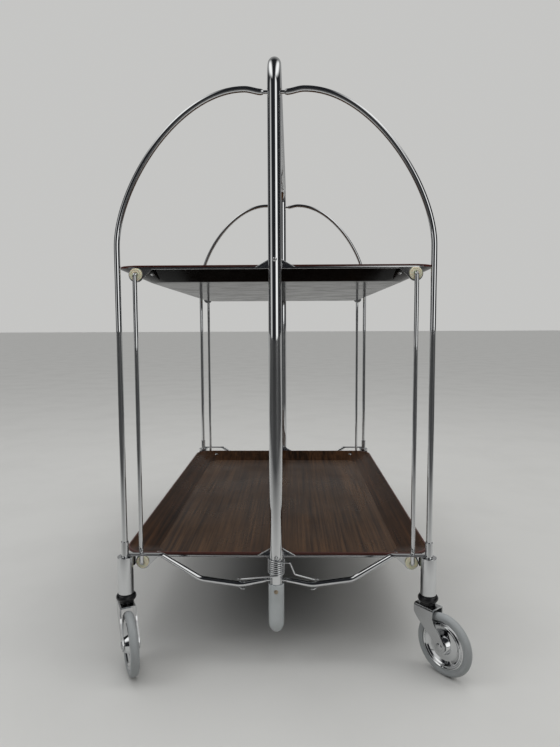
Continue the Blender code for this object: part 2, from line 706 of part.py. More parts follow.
def least_self_gap(path):
    """Least surface gap between stretches of wire that are at least half a turn apart."""
    apart = POINTS_PER_TURN // 2 + 1
    least = None
    for index, point in enumerate(path):
        for other in path[index + apart:]:
            gap = (point - other).length - 2 * WIRE_RADIUS
            least = gap if least is None else min(least, gap)
    return least


def spring_mesh():
    path = spring_path()
    coil_gap = least_self_gap(coil_points())
    print(f"spring: least gap between curls {coil_gap * 1000:.2f} mm, limit {LEAST_WIRE_GAP * 1000:.1f} mm")
    return tube(path, WIRE_RADIUS, 6)


def build():
    clear_scene()
    chrome = make_material("chrome", (0.78, 0.79, 0.80), 0.08, 1.0)
    laminate = make_material("wood_laminate", (0.13, 0.055, 0.03), 0.35)
    tyre_rubber = make_material("grey_tyre", (0.36, 0.38, 0.38), 0.6)
    black_rubber = make_material("black_rubber", (0.012, 0.012, 0.012), 0.45)
    grey_plastic = make_material("grey_plastic", (0.40, 0.42, 0.43), 0.35)
    cream_nylon = make_material("cream_nylon", (0.86, 0.82, 0.62), 0.4)

    make_object("centre_frame", centre_frame_mesh(), chrome)
    for end, end_y, turn in ENDS:
        place = make_empty(f"{end}_end", None, (0, end_y, 0), turn)
        make_object(f"end_cap_{end}", end_cap_mesh(), grey_plastic, place)
        for level, neck, rim in LEVELS:
            make_object(f"hinge_core_{level}_{end}", hinge_core_mesh(neck), chrome, place)
            make_object(f"tray_pivot_{level}_{end}", tray_pivot_mesh(rim + PIVOT_RISE), chrome, place)
        make_object(f"spring_{end}", spring_mesh(), chrome, place)
        for side in (-1, 1):
            corner = SIDE_NAMES[end, side]
            gate = make_empty(f"gate_{corner}", place, (side * HINGE_OFFSET, 0, 0))
            make_object(f"leg_{corner}", hung_tube(leg_path(), side, NECK_TOP), chrome, gate)
            make_object(f"foot_bar_{corner}", hung_tube(foot_bar_path(), side, NECK_LOW), chrome, gate)
            swivel_x = side * (LEG_REACH - HINGE_OFFSET)
            at_leg = (swivel_x, 0, 0)
            make_object(f"caster_socket_{corner}", caster_socket_mesh(), chrome, gate, at_leg)
            make_object(f"bumper_ring_{corner}", bumper_mesh(), black_rubber, gate, at_leg)
            swivel = make_empty(f"swivel_{corner}", gate, at_leg, TRAIL_ANGLES[side])
            make_object(f"fork_{corner}", fork_mesh(), chrome, swivel)
            hub = (TRAIL, 0, WHEEL_RADIUS)
            make_object(f"wheel_disc_{corner}", wheel_mesh(wheel_profile_disc()), chrome, swivel, hub)
            make_object(f"tyre_{corner}", wheel_mesh(wheel_profile_tyre()), tyre_rubber, swivel, hub)

    for level, _, rim in LEVELS:
        pivot = make_empty(f"{level}_tilt", None, (0, 0, rim + PIVOT_RISE))
        make_object(f"{level}_tray", tray_mesh(), laminate, pivot, (0, 0, -PIVOT_RISE))
        for end, end_y, turn in ENDS:
            at_end = make_empty(f"{level}_{end}_end", pivot, (0, end_y, -PIVOT_RISE), turn)
            make_object(f"{level}_rail_{end}", end_rail_mesh(), chrome, at_end)
            for side in (-1, 1):
                corner = SIDE_NAMES[end, side]
                hang = (side * BUSH_REACH, 0, -BUSH_DROP)
                make_object(f"{level}_bush_{corner}", bush_mesh(), cream_nylon, at_end, hang)
                if level == "upper":
                    make_object(f"link_rod_{corner}", rod_mesh(), chrome, at_end, hang)


build()
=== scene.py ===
"""Looks of the folding serving trolley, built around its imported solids.

Metres, +Z up, floor at Z = 0. Shapes of one end are worked out in that end's own frame, where the
bar's axis is the origin and +Y points to the middle, and are then placed at the front or, turned
by half a turn, at the rear. Every new surface is a grid of points of two parameters.
"""

import math

import bmesh
import bpy
import numpy as np
from mathutils import Matrix, Vector


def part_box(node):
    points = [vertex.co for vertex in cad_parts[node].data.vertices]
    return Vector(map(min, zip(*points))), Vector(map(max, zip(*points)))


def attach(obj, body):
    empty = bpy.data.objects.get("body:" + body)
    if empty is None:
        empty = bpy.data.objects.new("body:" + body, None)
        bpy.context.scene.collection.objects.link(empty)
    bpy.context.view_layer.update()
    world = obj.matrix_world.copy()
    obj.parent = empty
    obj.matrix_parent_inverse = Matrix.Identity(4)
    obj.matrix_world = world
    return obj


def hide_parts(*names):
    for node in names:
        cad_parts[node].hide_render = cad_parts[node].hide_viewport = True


bl_info = {
    "name": "Folding Serving Trolley",
    "version": (1, 0, 0),
    "blender": (4, 5, 0),
    "location": "3D View > Sidebar > Trolley",
    "description": "Adds the fine surfaces and finishes of a folding serving trolley",
    "category": "Add Mesh",
}

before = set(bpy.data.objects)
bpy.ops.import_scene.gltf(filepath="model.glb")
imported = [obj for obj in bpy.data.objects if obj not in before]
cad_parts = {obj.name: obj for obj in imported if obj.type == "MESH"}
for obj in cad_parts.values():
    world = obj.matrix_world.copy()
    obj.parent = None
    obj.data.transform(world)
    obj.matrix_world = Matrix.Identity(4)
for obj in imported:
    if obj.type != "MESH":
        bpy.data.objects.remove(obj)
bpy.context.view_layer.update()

# Sizes read from the frame
FRAME_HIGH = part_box("centre_frame")[1]
TRAY_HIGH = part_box("upper_tray")[1]
FRAME_HEIGHT = FRAME_HIGH.z
UPPER_RIM = TRAY_HIGH.z
LOWER_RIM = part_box("lower_tray")[1].z
BAR_Y = 0.314

# Fits, facets and the angles past which an edge is drawn sharp
GAP = 0.0003
EYE_ROUND = 24
PIN_ROUND = 28
HUB_ROUND = 36
BUSH_ROUND = 40
BAR_ROUND = 48
DISC_ROUND = 64
TYRE_ROUND = 72
TUBE_SIDES = 28
WIRE_SIDES = 12
MITRE_LIMIT = 0.7
BEVEL_MIDDLE = 0.3
PIECE_SHARP = 38
TRAY_SHARP = 50
WIRE_SHARP = 60

# Centre frame and its caps. The slots reach from one share of the bar's radius to another
HANDLE_BEND = 0.038
BAR_FOOT = 0.060
SLOT_HALF_WIDTH = 0.0031
SLOT_HALF_HEIGHT = 0.0035
SLOT_REACH = (0.45, 1.6)
CAP_TOP = 0.1045
CAP_BOTTOM = 0.042
CAP_RADIUS = 0.0098
CAP_NOSE = 0.0138
CAP_LIP = 0.0005
SCREW_HEIGHT = 0.0970
SCREW_RADIUS = 0.0027
SCREW_RISE = 0.0012
SCREW_SEAT = 0.0006
SCREW_FACE = CAP_RADIUS * 0.985

# Leg frames
LEG_REACH = 0.188
HINGE_OFFSET = 0.0035
NECK_TOP = 0.6925
NECK_LOW = 0.1085
NECK_RADIUS = 0.002
TUBE_END = 0.0128
SHOULDER_RUN = 0.0012
SHOULDER_STEP = 0.0001
EYE_RADIUS = 0.0028
EYE_HEIGHT = 0.005
EYE_BEND = 0.0004
LEG_FOOT = 0.1247
ARCH_SPRING = 0.515
ARCH_TOP = 0.696
ARCH_CROWN = 0.035
ARCH_RISE = 0.068
ARCH_RUN = 0.080
NECK_RISE = 0.008
FOOT_BAR_CORNERS = ((0.1845, 0.1402), (0.1430, 0.1402), (0.0944, 0.1095), (0.0444, 0.1025))
FOOT_BAR_BENDS = (0.009, 0.022, 0.035)
FOOT_BAR_FLAT_FROM = 0.137
FOOT_BAR_FLAT_TO = 0.147
FOOT_BAR_FLAT_HEIGHT = 0.42
FOOT_BAR_FLAT_WIDTH = 1.2
FOOT_BAR_STRIP_FROM = 0.1475

# Caster sockets and bumpers
COLLAR_TOP = 0.157
COLLAR_RADIUS = 0.0047
COLLAR_BORE_DEPTH = 0.006
SOCKET_TOP = 0.138
SOCKET_BOTTOM = 0.0912
SOCKET_RADIUS = 0.0096
SOCKET_BORE_DEPTH = 0.004
SOCKET_BEND = 0.0005
STEM_RADIUS = 0.004
STEM_TOP = 0.1195
STEM_SEAT = 0.001
STEM_BEND = 0.0005
BUMPER_TOP = 0.0908
BUMPER_BOTTOM = 0.0826
BUMPER_RADIUS = 0.0124
BUMPER_BEAD_FROM = -75
BUMPER_NECK_RADIUS = 0.0092
BUMPER_NECK_BOTTOM = 0.0797
BUMPER_NECK_BEND = 0.0004

# Casters
PLATE_TOP = 0.079
PLATE_THICKNESS = 0.0019
FORK_BACK = 0.0135
FORK_FRONT = 0.0145
FORK_CHEEK = 0.0105
FORK_HALF_GAP = 0.0085
FORK_END_RADIUS = 0.0075
FORK_BEND = 0.0016
FORK_BACK_CURVE = 0.55
FORK_EDGE_SHARES = (0.02, 0.08)
WASHER_RADIUS = STEM_RADIUS + 0.0035
WASHER_DROP = 0.0008
WASHER_RISE = 0.0005
WASHER_BEND = 0.0002
TRAIL = 0.025
AXLE_RADIUS = 0.0028
AXLE_HEAD_RADIUS = 0.0046
AXLE_HEAD_HEIGHT = 0.0016
AXLE_HEAD_EDGE = 0.0001
FRONT_LEFT_TRAIL_ANGLE = math.radians(-65)
FRONT_RIGHT_TRAIL_ANGLE = math.radians(-51)

# Wheels: the disc's face as (radius, height), the tyre's side as (rise from its bore, share of its width)
HUB_HALF_WIDTH = 0.0078
RIM_RADIUS = 0.0288
DISC_FACE = ((0.0088, HUB_HALF_WIDTH), (0.0116, 0.0020), (0.0190, 0.0014), (0.0222, 0.0028),
             (0.0243, 0.0050), (0.0259, 0.0024), (0.0275, 0.0046), (RIM_RADIUS, 0.0040))
DISC_BEND = 0.0006
TYRE_HALF_WIDTH = 0.0052
TREAD_CROWN = TYRE_HALF_WIDTH * 0.8
TREAD_ANGLE = math.radians(80)
TYRE_SIDE = ((0.0026, 0.98), (0.0021, 0.88), (0.0018, 0.88), (0.0014, 0.94), (0.0003, 0.88), (0.0, 0.75))

# Trays
TRAY_DEPTH = 0.018
TRAY_THICKNESS = 0.003
TRAY_SLOPE = 0.034
TRAY_EDGE = 0.0028
TRAY_INNER_EDGE = TRAY_EDGE * 0.75
TRAY_RIM_END = TRAY_EDGE * 1.2
TRAY_CORNER = 0.028
TRAY_FLOOR_CORNER = 0.026
TRAY_FLAT = 0.075
TRAY_RIM_BEND = 0.0007
TRAY_UNDER_BEND = 0.010
TRAY_FLOOR_BEND = 0.006
TRAY_PRINT_OVERLAP = 0.0005
# The last finish is a darker copy of the wood print for the sloped sides: painted shade
TRAY_FINISHES = ("wood_print", "tray_edge", "tray_back", "shaded_wood_sides")

# Rails and their tabs
RAIL_THICKNESS = 0.0016
RAIL_BEVEL = 0.0003
RAIL_TOP = 0.0025
RAIL_BOTTOM = 0.0052
RAIL_END = 0.1798
RAIL_BEAD = 0.0006
RAIL_FINISHES = ("pressed_chrome", "tray_back")
LUG_FOOT = 0.0237
LUG_SHOULDER = 0.0101
LUG_SHOULDER_RISE = 0.0048
LUG_TOP = 0.006
LUG_RISE = 0.0085
BUSH_LUG_RADIUS = 0.0092
BUSH_LUG_FOOT = 0.1505
BUSH_LUG_FROM = -150
BUSH_LUG_TO = 40
TAB_REACH = 0.1535
TAB_WIDTH = 0.011
TAB_TAIL = 0.008
TAB_THICKNESS = 0.0014
TAB_BEND = TAB_WIDTH * 0.2
TAB_BEVEL = 0.0002
RIVET_INSET = 0.013
RIVET_HEAD_RADIUS = 0.003
RIVET_HEAD_HEIGHT = 0.0011
RIVET_SHANK_RADIUS = 0.0014
RIVET_FOOT_RADIUS = RIVET_HEAD_RADIUS * 0.8
RIVET_FOOT_HEIGHT = 0.0008

# Pivots, bushes and rods
PIVOT_RISE = 0.0035
PIVOT_RADIUS = 0.002
PIVOT_BEVEL = 0.0002
PIVOT_HEAD_RADIUS = 0.0026
PIVOT_HEAD_HEIGHT = 0.002
SPACER_RADIUS = 0.0045
SPACER_LENGTH = 0.0065
SPACER_BEND = 0.0004
BUSH_REACH = 0.170
BUSH_DROP = 0.0115
BUSH_RADIUS = 0.0077
BUSH_LENGTH = 0.0029
BUSH_LIP = 0.0012
BUSH_LIP_SLOPE = 0.0004
BUSH_RECESS = 0.0005
BUSH_RIM_RECESS = 0.0004
BUSH_RIM = 0.0012
BUSH_BEVEL = 0.0010
BUSH_BEND = 0.0003
ROD_PLANE = 0.0088
ROD_BEND = 0.003
ROD_TAIL = 0.0035

# Springs
COIL_RADIUS = 0.0098
COIL_PITCH = 0.0026
COIL_TURNS = 7
COIL_STEPS = 40
COIL_BOTTOM = 0.1173
HOOK_BEHIND = 0.0048
HOOK_REACH = 0.0058
HOOK_STEP = 0.0042
HOOK_DROP_SHARE = 0.25
HOOK_TAIL = 0.0050
WIRE_BEND = 0.0016
RIGHT_ARM = ((0.0173, -0.0088, 0.1335), (0.0231, -0.0072, 0.1185), (0.0478, -0.0010, 0.1090))
LEFT_ARM = ((-0.0438, -0.0010, 0.1092),)

# Corner catches
CATCH_INNER = 0.179
CATCH_OUTER = 0.1955
CATCH_PLANE = 0.0120
CATCH_THICKNESS = 0.0029
CATCH_TOP = 0.0015
CATCH_BOTTOM = 0.015
CATCH_BEND = 0.002
CATCH_BEVEL = 0.0005

RAIL_PLANE = FRAME_HIGH.x + GAP + SPACER_LENGTH + GAP
TRAY_END = RAIL_PLANE + RAIL_THICKNESS + GAP
BUSH_PLANE = RAIL_PLANE - GAP - BUSH_LENGTH
SLOPE_ANGLE = math.atan2(TRAY_DEPTH - TRAY_EDGE, TRAY_SLOPE)

# Smudges and specks: where the noise starts and ends to show
SMUDGE_SPREAD = (0.35, 0.70)
SMUDGE_MASK = (0.45, 0.75)
SPECK_SCALE = 900.0

# Wood figure: each noise's scale along X, Y and Z, its detail and its distortion
GRAIN_BANDS = ((26.0, 1.6, 8.0), 4.0, 0.5)
GRAIN_STREAKS = ((260.0, 5.0, 90.0), 6.0, 0.2)
GRAIN_PORES = ((1100.0, 26.0, 360.0), 2.0, 0.0)
BAND_SHARE = 0.38
STREAK_SHARE = 0.72
FIGURE_RANGE = (0.40, 0.72)
PORE_RANGE = (0.56, 0.68)
PORE_STRENGTH = 0.55
PORE_TINT = 0.75
# Lighter grain of the darker wood copy on the sloped sides, which is painted shade
SHADED_SIDE_LIGHT_GRAIN = (0.068, 0.030, 0.0125)
SCREW_BRIGHT = (0.36, 0.30, 0.22)
SCREW_DULL = (0.20, 0.13, 0.08)

# Camera, floor and lamps as (name, place, aim, size, power, colour)
CAMERA_PLACE = (0.0189, -0.9882, 0.4206)
CAMERA_YAW = -0.01969
CAMERA_PITCH = 0.08157
CAMERA_ROLL = -0.00402
CAMERA_LENS = 36.09
CAMERA_NEAR = 0.01
SENSOR_WIDTH = 36.0
FLOOR_SIZE = 60.0
FLOOR_MIDDLE = (0, 0.6, 0)
FLOOR_FAR = (1.15, 1.9)
FLOOR_BEFORE = (1.2, 0.3)
# Painted shade seen only in mirrors: the floor far from the trolley, on the camera's side
FLOOR_REFLECTED_SHADE_SHARE = 0.9
FLOOR_REFLECTED_SHADE = (0.02, 0.02, 0.022)
LAMPS = (
    ("overhead_lamp", (0.2, -0.3, 2.4), (0, 0, 0.2), 1.6, 18),
    ("left_lamp", (-1.9, -0.9, 1.9), (0, 0, 0.3), 0.9, 9, (0.97, 0.98, 1.0)),
    ("right_lamp", (2.0, -0.5, 1.8), (0, 0, 0.3), 0.8, 6, (1.0, 0.98, 0.95)),
)

# Surround: colours, and where along a direction's X, Y or Z each panel's edge fades in
SURROUND = (0.56, 0.56, 0.55, 1)
MIRROR_DARK = (0.020, 0.021, 0.024, 1)
MIRROR_BRIGHT = (1.30, 1.30, 1.28, 1)
WALL_EDGE = (0.35, 0.75)
WALL_LIGHT = 0.22
RIGHT_PANEL_X = (0.20, 0.42)
RIGHT_PANEL_Y = (0.52, 0.72)
LEFT_PANEL_X = (0.62, 0.82)
LEFT_PANEL_Y = (0.15, 0.40)
LEFT_PANEL_LIGHT = 0.55
TOP_PANELS_Z = (0.55, 0.78)
TOP_PANELS_X = (0.22, 0.50)
SKY_EDGE = (0.25, 0.85)
SKY_LEAST = 0.05

# Ends as (place along Y, turn), corners as (end, side, wheel's direction), trays by their rim's height
ENDS = {"front": (-BAR_Y, 0.0), "rear": (BAR_Y, math.pi)}
CORNERS = {
    "front_left": ("front", -1, FRONT_LEFT_TRAIL_ANGLE),
    "front_right": ("front", 1, FRONT_RIGHT_TRAIL_ANGLE),
    "rear_right": ("rear", -1, FRONT_LEFT_TRAIL_ANGLE),
    "rear_left": ("rear", 1, FRONT_RIGHT_TRAIL_ANGLE),
}
LEVELS = {"upper": UPPER_RIM, "lower": LOWER_RIM}


class TrolleySizes(bpy.types.PropertyGroup):
    """Sizes of the tubes, rods and wheels"""

    bar_radius: bpy.props.FloatProperty(
        name="Bar radius", description="Radius of the centre frame's tube", default=FRAME_HIGH.x,
        unit="LENGTH", precision=4)
    tube_radius: bpy.props.FloatProperty(
        name="Leg tube radius", description="Radius of the leg frames' tubes",
        default=0.0035, unit="LENGTH", precision=4)
    rod_radius: bpy.props.FloatProperty(
        name="Link rod radius", description="Radius of the rods between the trays", default=0.0027,
        unit="LENGTH", precision=4)
    wire_radius: bpy.props.FloatProperty(
        name="Spring wire radius", description="Radius of the torsion springs' wire", default=0.0009,
        unit="LENGTH", precision=4)
    wheel_radius: bpy.props.FloatProperty(
        name="Wheel radius", description="Radius of the tyre's tread", default=0.0375,
        unit="LENGTH", precision=4)


class TrolleyColours(bpy.types.PropertyGroup):
    """Colours of the finishes"""

    chrome: bpy.props.FloatVectorProperty(
        name="Chrome", description="Colour of the plated steel", subtype="COLOR", default=(0.66, 0.67, 0.68))
    wood_light: bpy.props.FloatVectorProperty(
        name="Light grain", description="Lighter colour of the wood pattern", subtype="COLOR",
        default=(0.104, 0.052, 0.0225))
    wood_dark: bpy.props.FloatVectorProperty(
        name="Dark grain", description="Darker colour of the wood pattern", subtype="COLOR",
        default=(0.020, 0.0090, 0.0042))
    tray_edge: bpy.props.FloatVectorProperty(
        name="Tray edge", description="Colour of the tray's rim", subtype="COLOR",
        default=(0.062, 0.014, 0.009))
    tray_back: bpy.props.FloatVectorProperty(
        name="Tray underside", description="Colour of the tray's underside", subtype="COLOR",
        default=(0.003, 0.003, 0.003))
    tyre: bpy.props.FloatVectorProperty(
        name="Tyre", description="Colour of the tyres", subtype="COLOR", default=(0.290, 0.305, 0.310))
    bush: bpy.props.FloatVectorProperty(
        name="Bush", description="Colour of the nylon bushes", subtype="COLOR", default=(0.80, 0.76, 0.56))
    cap: bpy.props.FloatVectorProperty(
        name="End cap", description="Colour of the end caps", subtype="COLOR", default=(0.40, 0.425, 0.43))
    rubber: bpy.props.FloatVectorProperty(
        name="Black rubber", description="Colour of the bumper rings and pads", subtype="COLOR",
        default=(0.006, 0.006, 0.007))
    floor: bpy.props.FloatVectorProperty(
        name="Floor", description="Colour of the floor", subtype="COLOR", default=(0.55, 0.55, 0.535))


# Curves and profiles

def rounded(corners, bend, steps):
    """Straight runs through the corners, with a circular arc of the bend radius in place of each one.
    The radius may differ from corner to corner."""
    corners = [np.array(corner, float) for corner in corners]
    runs = [corners[0][None]]
    radii = np.broadcast_to(bend, len(corners) - 2)
    for before, corner, after, radius in zip(corners, corners[1:], corners[2:], radii):
        back = (before - corner) / np.linalg.norm(before - corner)
        ahead = (after - corner) / np.linalg.norm(after - corner)
        half = math.acos(np.clip(back @ ahead, -1, 1)) / 2
        middle = (back + ahead) / np.linalg.norm(back + ahead)
        centre = corner + middle * radius / math.sin(half)
        first = corner + back * radius / math.tan(half) - centre
        across = first - middle * (first @ middle)
        across /= np.linalg.norm(across)
        sweep = (math.pi / 2 - half) * np.linspace(1, -1, steps + 1)[:, None]
        runs.append(centre + radius * (np.sin(sweep) * across - np.cos(sweep) * middle))
    runs.append(corners[-1][None])
    return np.vstack(runs)


def bezier(start, first, second, end, steps):
    """Cubic curve: the four points weighted by u^3, 3u^2t, 3ut^2 and t^3, with u = 1 - t."""
    t = np.linspace(0, 1, steps + 1)[:, None]
    u = 1 - t
    start, first, second, end = (np.array(p, float) for p in (start, first, second, end))
    return start * u ** 3 + first * 3 * u * u * t + second * 3 * u * t * t + end * t ** 3


def ease(path, steps):
    """Points spread evenly along the path, with steps runs between its ends."""
    path = np.asarray(path, float)
    length = np.r_[0, np.cumsum(np.linalg.norm(np.diff(path, axis=0), axis=1))]
    at = np.linspace(0, length[-1], steps + 1)
    return np.stack([np.interp(at, length, path[:, k]) for k in range(3)], axis=1)


def quarter(centre, radius, start, end, steps=8):
    """Arc of (across, height) points round a centre, from one angle in degrees to another."""
    angle = np.radians(np.linspace(start, end, steps + 1))
    return [(centre[0] + radius * c, centre[1] + radius * s) for c, s in zip(np.cos(angle), np.sin(angle))]


def dome(radius, rise, seat, steps):
    """Quarter of an ellipse, from its top on the axis out to the radius at the seat's height."""
    return [(radius * s, seat + rise * c) for c, s in quarter((0, 0), 1, 0, 90, steps)]


def smooth_step(share):
    """Cubic step from 0 to 1: 3 s^2 - 2 s^3, level outside that range."""
    share = np.clip(share, 0, 1)
    return share * share * (3 - 2 * share)


# Surfaces

def tube_sheet(path, radius, sides=TUBE_SIDES, caps=True):
    """A circle carried along the path: centre + r cos v * n + r sin v * b, where n and b stay
    square to the path and turn as little as they can. The radius may change from point to point."""
    path = np.asarray(path, float)
    radius = np.broadcast_to(np.asarray(radius, float), len(path))
    steps = np.diff(path, axis=0)
    steps /= np.linalg.norm(steps, axis=1)[:, None]
    along = np.vstack([steps[:1], steps[:-1] + steps[1:], steps[-1:]])
    along /= np.linalg.norm(along, axis=1)[:, None]
    helper = np.eye(3)[np.argmin(np.abs(along[0]))]
    side = np.cross(along[0], helper)
    sides_of = []
    for direction in along:
        side = side - direction * (side @ direction)
        side = side / np.linalg.norm(side)
        sides_of.append(side)
    normal = np.array(sides_of)
    other = np.cross(along, normal)
    stretch = np.ones(len(path))
    stretch[1:-1] = 1 / np.clip(np.einsum("ij,ij->i", along[1:-1], steps[1:]), MITRE_LIMIT, 1)
    angle = np.linspace(0, math.tau, sides, endpoint=False)
    ring = np.cos(angle)[None, :, None] * normal[:, None] + np.sin(angle)[None, :, None] * other[:, None]
    return path[:, None] + ring * (radius * np.sqrt(stretch))[:, None, None], "v", caps, 0


def turned_sheet(profile, segments=BAR_ROUND, closed=False, slot=0):
    """A profile of (radius, height) points turned about Z: (r cos v, r sin v, h)."""
    profile = np.asarray(profile, float)
    angle = np.linspace(0, math.tau, segments, endpoint=False)
    radius = profile[:, :1]
    height = np.broadcast_to(profile[:, 1:2], (len(profile), segments))
    grid = np.stack([radius * np.cos(angle), radius * np.sin(angle), height], axis=2)
    return grid, "uv" if closed else "v", False, slot


def soft(points, bend, steps=5):
    """A profile whose inner corners are rounded by the bend radius."""
    return rounded([(a, 0.0, b) for a, b in points], bend, steps)[:, (0, 2)]


def plate_sheet(outline, low, high, bevel, slot=0):
    """An outline in X and Z carried along Y from low to high, drawn in by the bevel at both faces."""
    outline = np.asarray(outline, float)
    before = outline - np.roll(outline, 1, axis=0)
    after = np.roll(outline, -1, axis=0) - outline
    before /= np.linalg.norm(before, axis=1)[:, None]
    after /= np.linalg.norm(after, axis=1)[:, None]
    area = np.sum(outline[:, 0] * np.roll(outline[:, 1], -1) - outline[:, 1] * np.roll(outline[:, 0], -1))
    inward = np.stack([-(before + after)[:, 1], (before + after)[:, 0]], axis=1) * np.sign(area)
    inward /= np.linalg.norm(inward, axis=1)[:, None]
    rows = []
    middle = BEVEL_MIDDLE
    for share, y in ((1.0, low), (middle, low + bevel * middle), (0.0, low + bevel),
                     (0.0, high - bevel), (middle, high - bevel * middle), (1.0, high)):
        flat = outline + inward * bevel * share
        rows.append(np.stack([flat[:, 0], np.full(len(flat), y), flat[:, 1]], axis=1))
    return np.stack(rows), "v", True, slot


def placed(sheet, matrix):
    """The sheet's points moved by a 4 by 4 matrix."""
    grid, wrap, caps, slot = sheet
    return grid @ matrix[:3, :3].T + matrix[:3, 3], wrap, caps, slot


def shift(x=0.0, y=0.0, z=0.0):
    """Moves by three lengths."""
    matrix = np.eye(4)
    matrix[:3, 3] = (x, y, z)
    return matrix


def turn(axis, angle):
    """Turn about X, Y or Z by the right-hand rule."""
    k = "XYZ".index(axis)
    i, j = (k + 1) % 3, (k + 2) % 3
    matrix = np.eye(4)
    matrix[i, i] = matrix[j, j] = math.cos(angle)
    matrix[j, i] = math.sin(angle)
    matrix[i, j] = -math.sin(angle)
    return matrix


def at_end(end):
    """From one end's own frame to the trolley's frame."""
    y, angle = ENDS[end]
    return shift(0, y, 0) @ turn("Z", angle)


def along_y():
    """Turns Z to Y."""
    return turn("X", -math.pi / 2)


def at_caster(corner):
    """From a caster's own frame, with its swivel axis as Z and its wheel towards +X, to the trolley's."""
    end, side, angle = CORNERS[corner]
    return at_end(end) @ shift(side * LEG_REACH, 0, 0) @ turn("Z", angle)


def to_hub():
    """From the wheel's own frame, with its axle as Z, to its caster's."""
    return shift(TRAIL, 0, sizes().wheel_radius) @ along_y()


def make_piece(name, sheets, finish, body, node=None, sharp=PIECE_SHARP):
    """One object from grids of points, with one finish or several. It rides on a body and may take a
    CAD node's place. Poles are merged and faces point outwards."""
    vertices, faces, slots, base = [], [], [], 0
    for grid, wrap, caps, index in sheets:
        n, m = grid.shape[:2]
        ids = base + np.arange(n * m).reshape(n, m)
        if "u" in wrap:
            ids = np.vstack([ids, ids[:1]])
        if "v" in wrap:
            ids = np.hstack([ids, ids[:, :1]])
        quads = np.stack([ids[:-1, :-1], ids[:-1, 1:], ids[1:, 1:], ids[1:, :-1]], axis=2).reshape(-1, 4)
        faces += quads.tolist()
        which = np.broadcast_to(index, len(ids) - 1)
        slots += np.repeat(which, ids.shape[1] - 1).tolist()
        if caps:
            faces += [ids[0, :m].tolist(), ids[-1, :m][::-1].tolist()]
            slots += [int(which[0]), int(which[-1])]
        vertices.append(grid.reshape(-1, 3))
        base += n * m
    mesh = bpy.data.meshes.new(name)
    mesh.from_pydata(np.vstack(vertices).tolist(), [], faces)
    mesh.polygons.foreach_set("material_index", slots)
    bm = bmesh.new()
    bm.from_mesh(mesh)
    bmesh.ops.remove_doubles(bm, verts=bm.verts, dist=1e-7)
    bmesh.ops.dissolve_degenerate(bm, edges=bm.edges, dist=1e-8)
    bmesh.ops.recalc_face_normals(bm, faces=bm.faces)
    bm.to_mesh(mesh)
    bm.free()
    for look in (finish,) if isinstance(finish, str) else finish:
        mesh.materials.append(finishes()[look])
    mesh.shade_smooth()
    mesh.set_sharp_from_angle(angle=math.radians(sharp))
    piece = bpy.data.objects.new(name, mesh)
    bpy.context.scene.collection.objects.link(piece)
    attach(piece, body)
    if node:
        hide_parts(node)
    return piece


def carve(piece, tools):
    """Cuts closed tool sheets out of a piece and keeps the result as its mesh."""
    cutters = []
    for index, sheet in enumerate(tools):
        cutter = make_piece(f"cutter_{index}", [sheet], (), "frame")
        modifier = piece.modifiers.new("Cut", "BOOLEAN")
        modifier.operation = "DIFFERENCE"
        modifier.solver = "EXACT"
        modifier.object = cutter
        cutters.append(cutter)
    bpy.context.view_layer.update()
    mesh = bpy.data.meshes.new_from_object(piece.evaluated_get(bpy.context.evaluated_depsgraph_get()))
    piece.modifiers.clear()
    piece.data = mesh
    mesh.shade_smooth()
    mesh.set_sharp_from_angle(angle=math.radians(PIECE_SHARP))
    for cutter in cutters:
        bpy.data.objects.remove(cutter, do_unlink=True)


# Effects shared by the materials

def new_node(tree, kind, **values):
    """A node with its inputs set by their names."""
    node = tree.nodes.new(kind)
    for label, value in values.items():
        node.inputs[label.replace("_", " ")].default_value = value
    return node


def ranged(tree, source, limits):
    """A node whose result goes from 0 to 1 as the source goes from one limit to the other."""
    node = new_node(tree, "ShaderNodeMapRange", From_Min=limits[0], From_Max=limits[1])
    tree.links.new(source, node.inputs["Value"])
    return node


def maths(tree, operation, *values):
    """Result of a maths node, from numbers and other nodes' outputs."""
    node = tree.nodes.new("ShaderNodeMath")
    node.operation = operation
    for socket, value in zip(node.inputs, values):
        if isinstance(value, (int, float)):
            socket.default_value = value
        else:
            tree.links.new(value, socket)
    return node.outputs[0]


def new_group(name, inputs, outputs):
    """A node group with named sockets, and its input and output nodes."""
    group = bpy.data.node_groups.new(name, "ShaderNodeTree")
    for label, kind, value in inputs:
        socket = group.interface.new_socket(name=label, in_out="INPUT", socket_type=kind)
        if value is not None:
            socket.default_value = value
    for label, kind in outputs:
        group.interface.new_socket(name=label, in_out="OUTPUT", socket_type=kind)
    return group, group.nodes.new("NodeGroupInput"), group.nodes.new("NodeGroupOutput")


def smudge_group():
    """Broad smudges and fine specks: a roughness that wanders between two values, a height for the
    specks and a mask for the smudges."""
    group, inp, out = new_group(
        "Smudges", [("Vector", "NodeSocketVector", None), ("Scale", "NodeSocketFloat", 14.0),
                    ("Least", "NodeSocketFloat", 0.05), ("Most", "NodeSocketFloat", 0.14)],
        [("Roughness", "NodeSocketFloat"), ("Height", "NodeSocketFloat"), ("Mask", "NodeSocketFloat")])
    broad = new_node(group, "ShaderNodeTexNoise", Detail=5.0)
    fine = new_node(group, "ShaderNodeTexNoise", Scale=SPECK_SCALE, Detail=2.0)
    spread = ranged(group, broad.outputs["Fac"], SMUDGE_SPREAD)
    mask = ranged(group, broad.outputs["Fac"], SMUDGE_MASK)
    for source, target in ((inp.outputs["Vector"], broad.inputs["Vector"]),
                           (inp.outputs["Scale"], broad.inputs["Scale"]),
                           (inp.outputs["Vector"], fine.inputs["Vector"]),
                           (inp.outputs["Least"], spread.inputs["To Min"]),
                           (inp.outputs["Most"], spread.inputs["To Max"]),
                           (spread.outputs["Result"], out.inputs["Roughness"]),
                           (fine.outputs["Fac"], out.inputs["Height"]),
                           (mask.outputs["Result"], out.inputs["Mask"])):
        group.links.new(source, target)
    return group


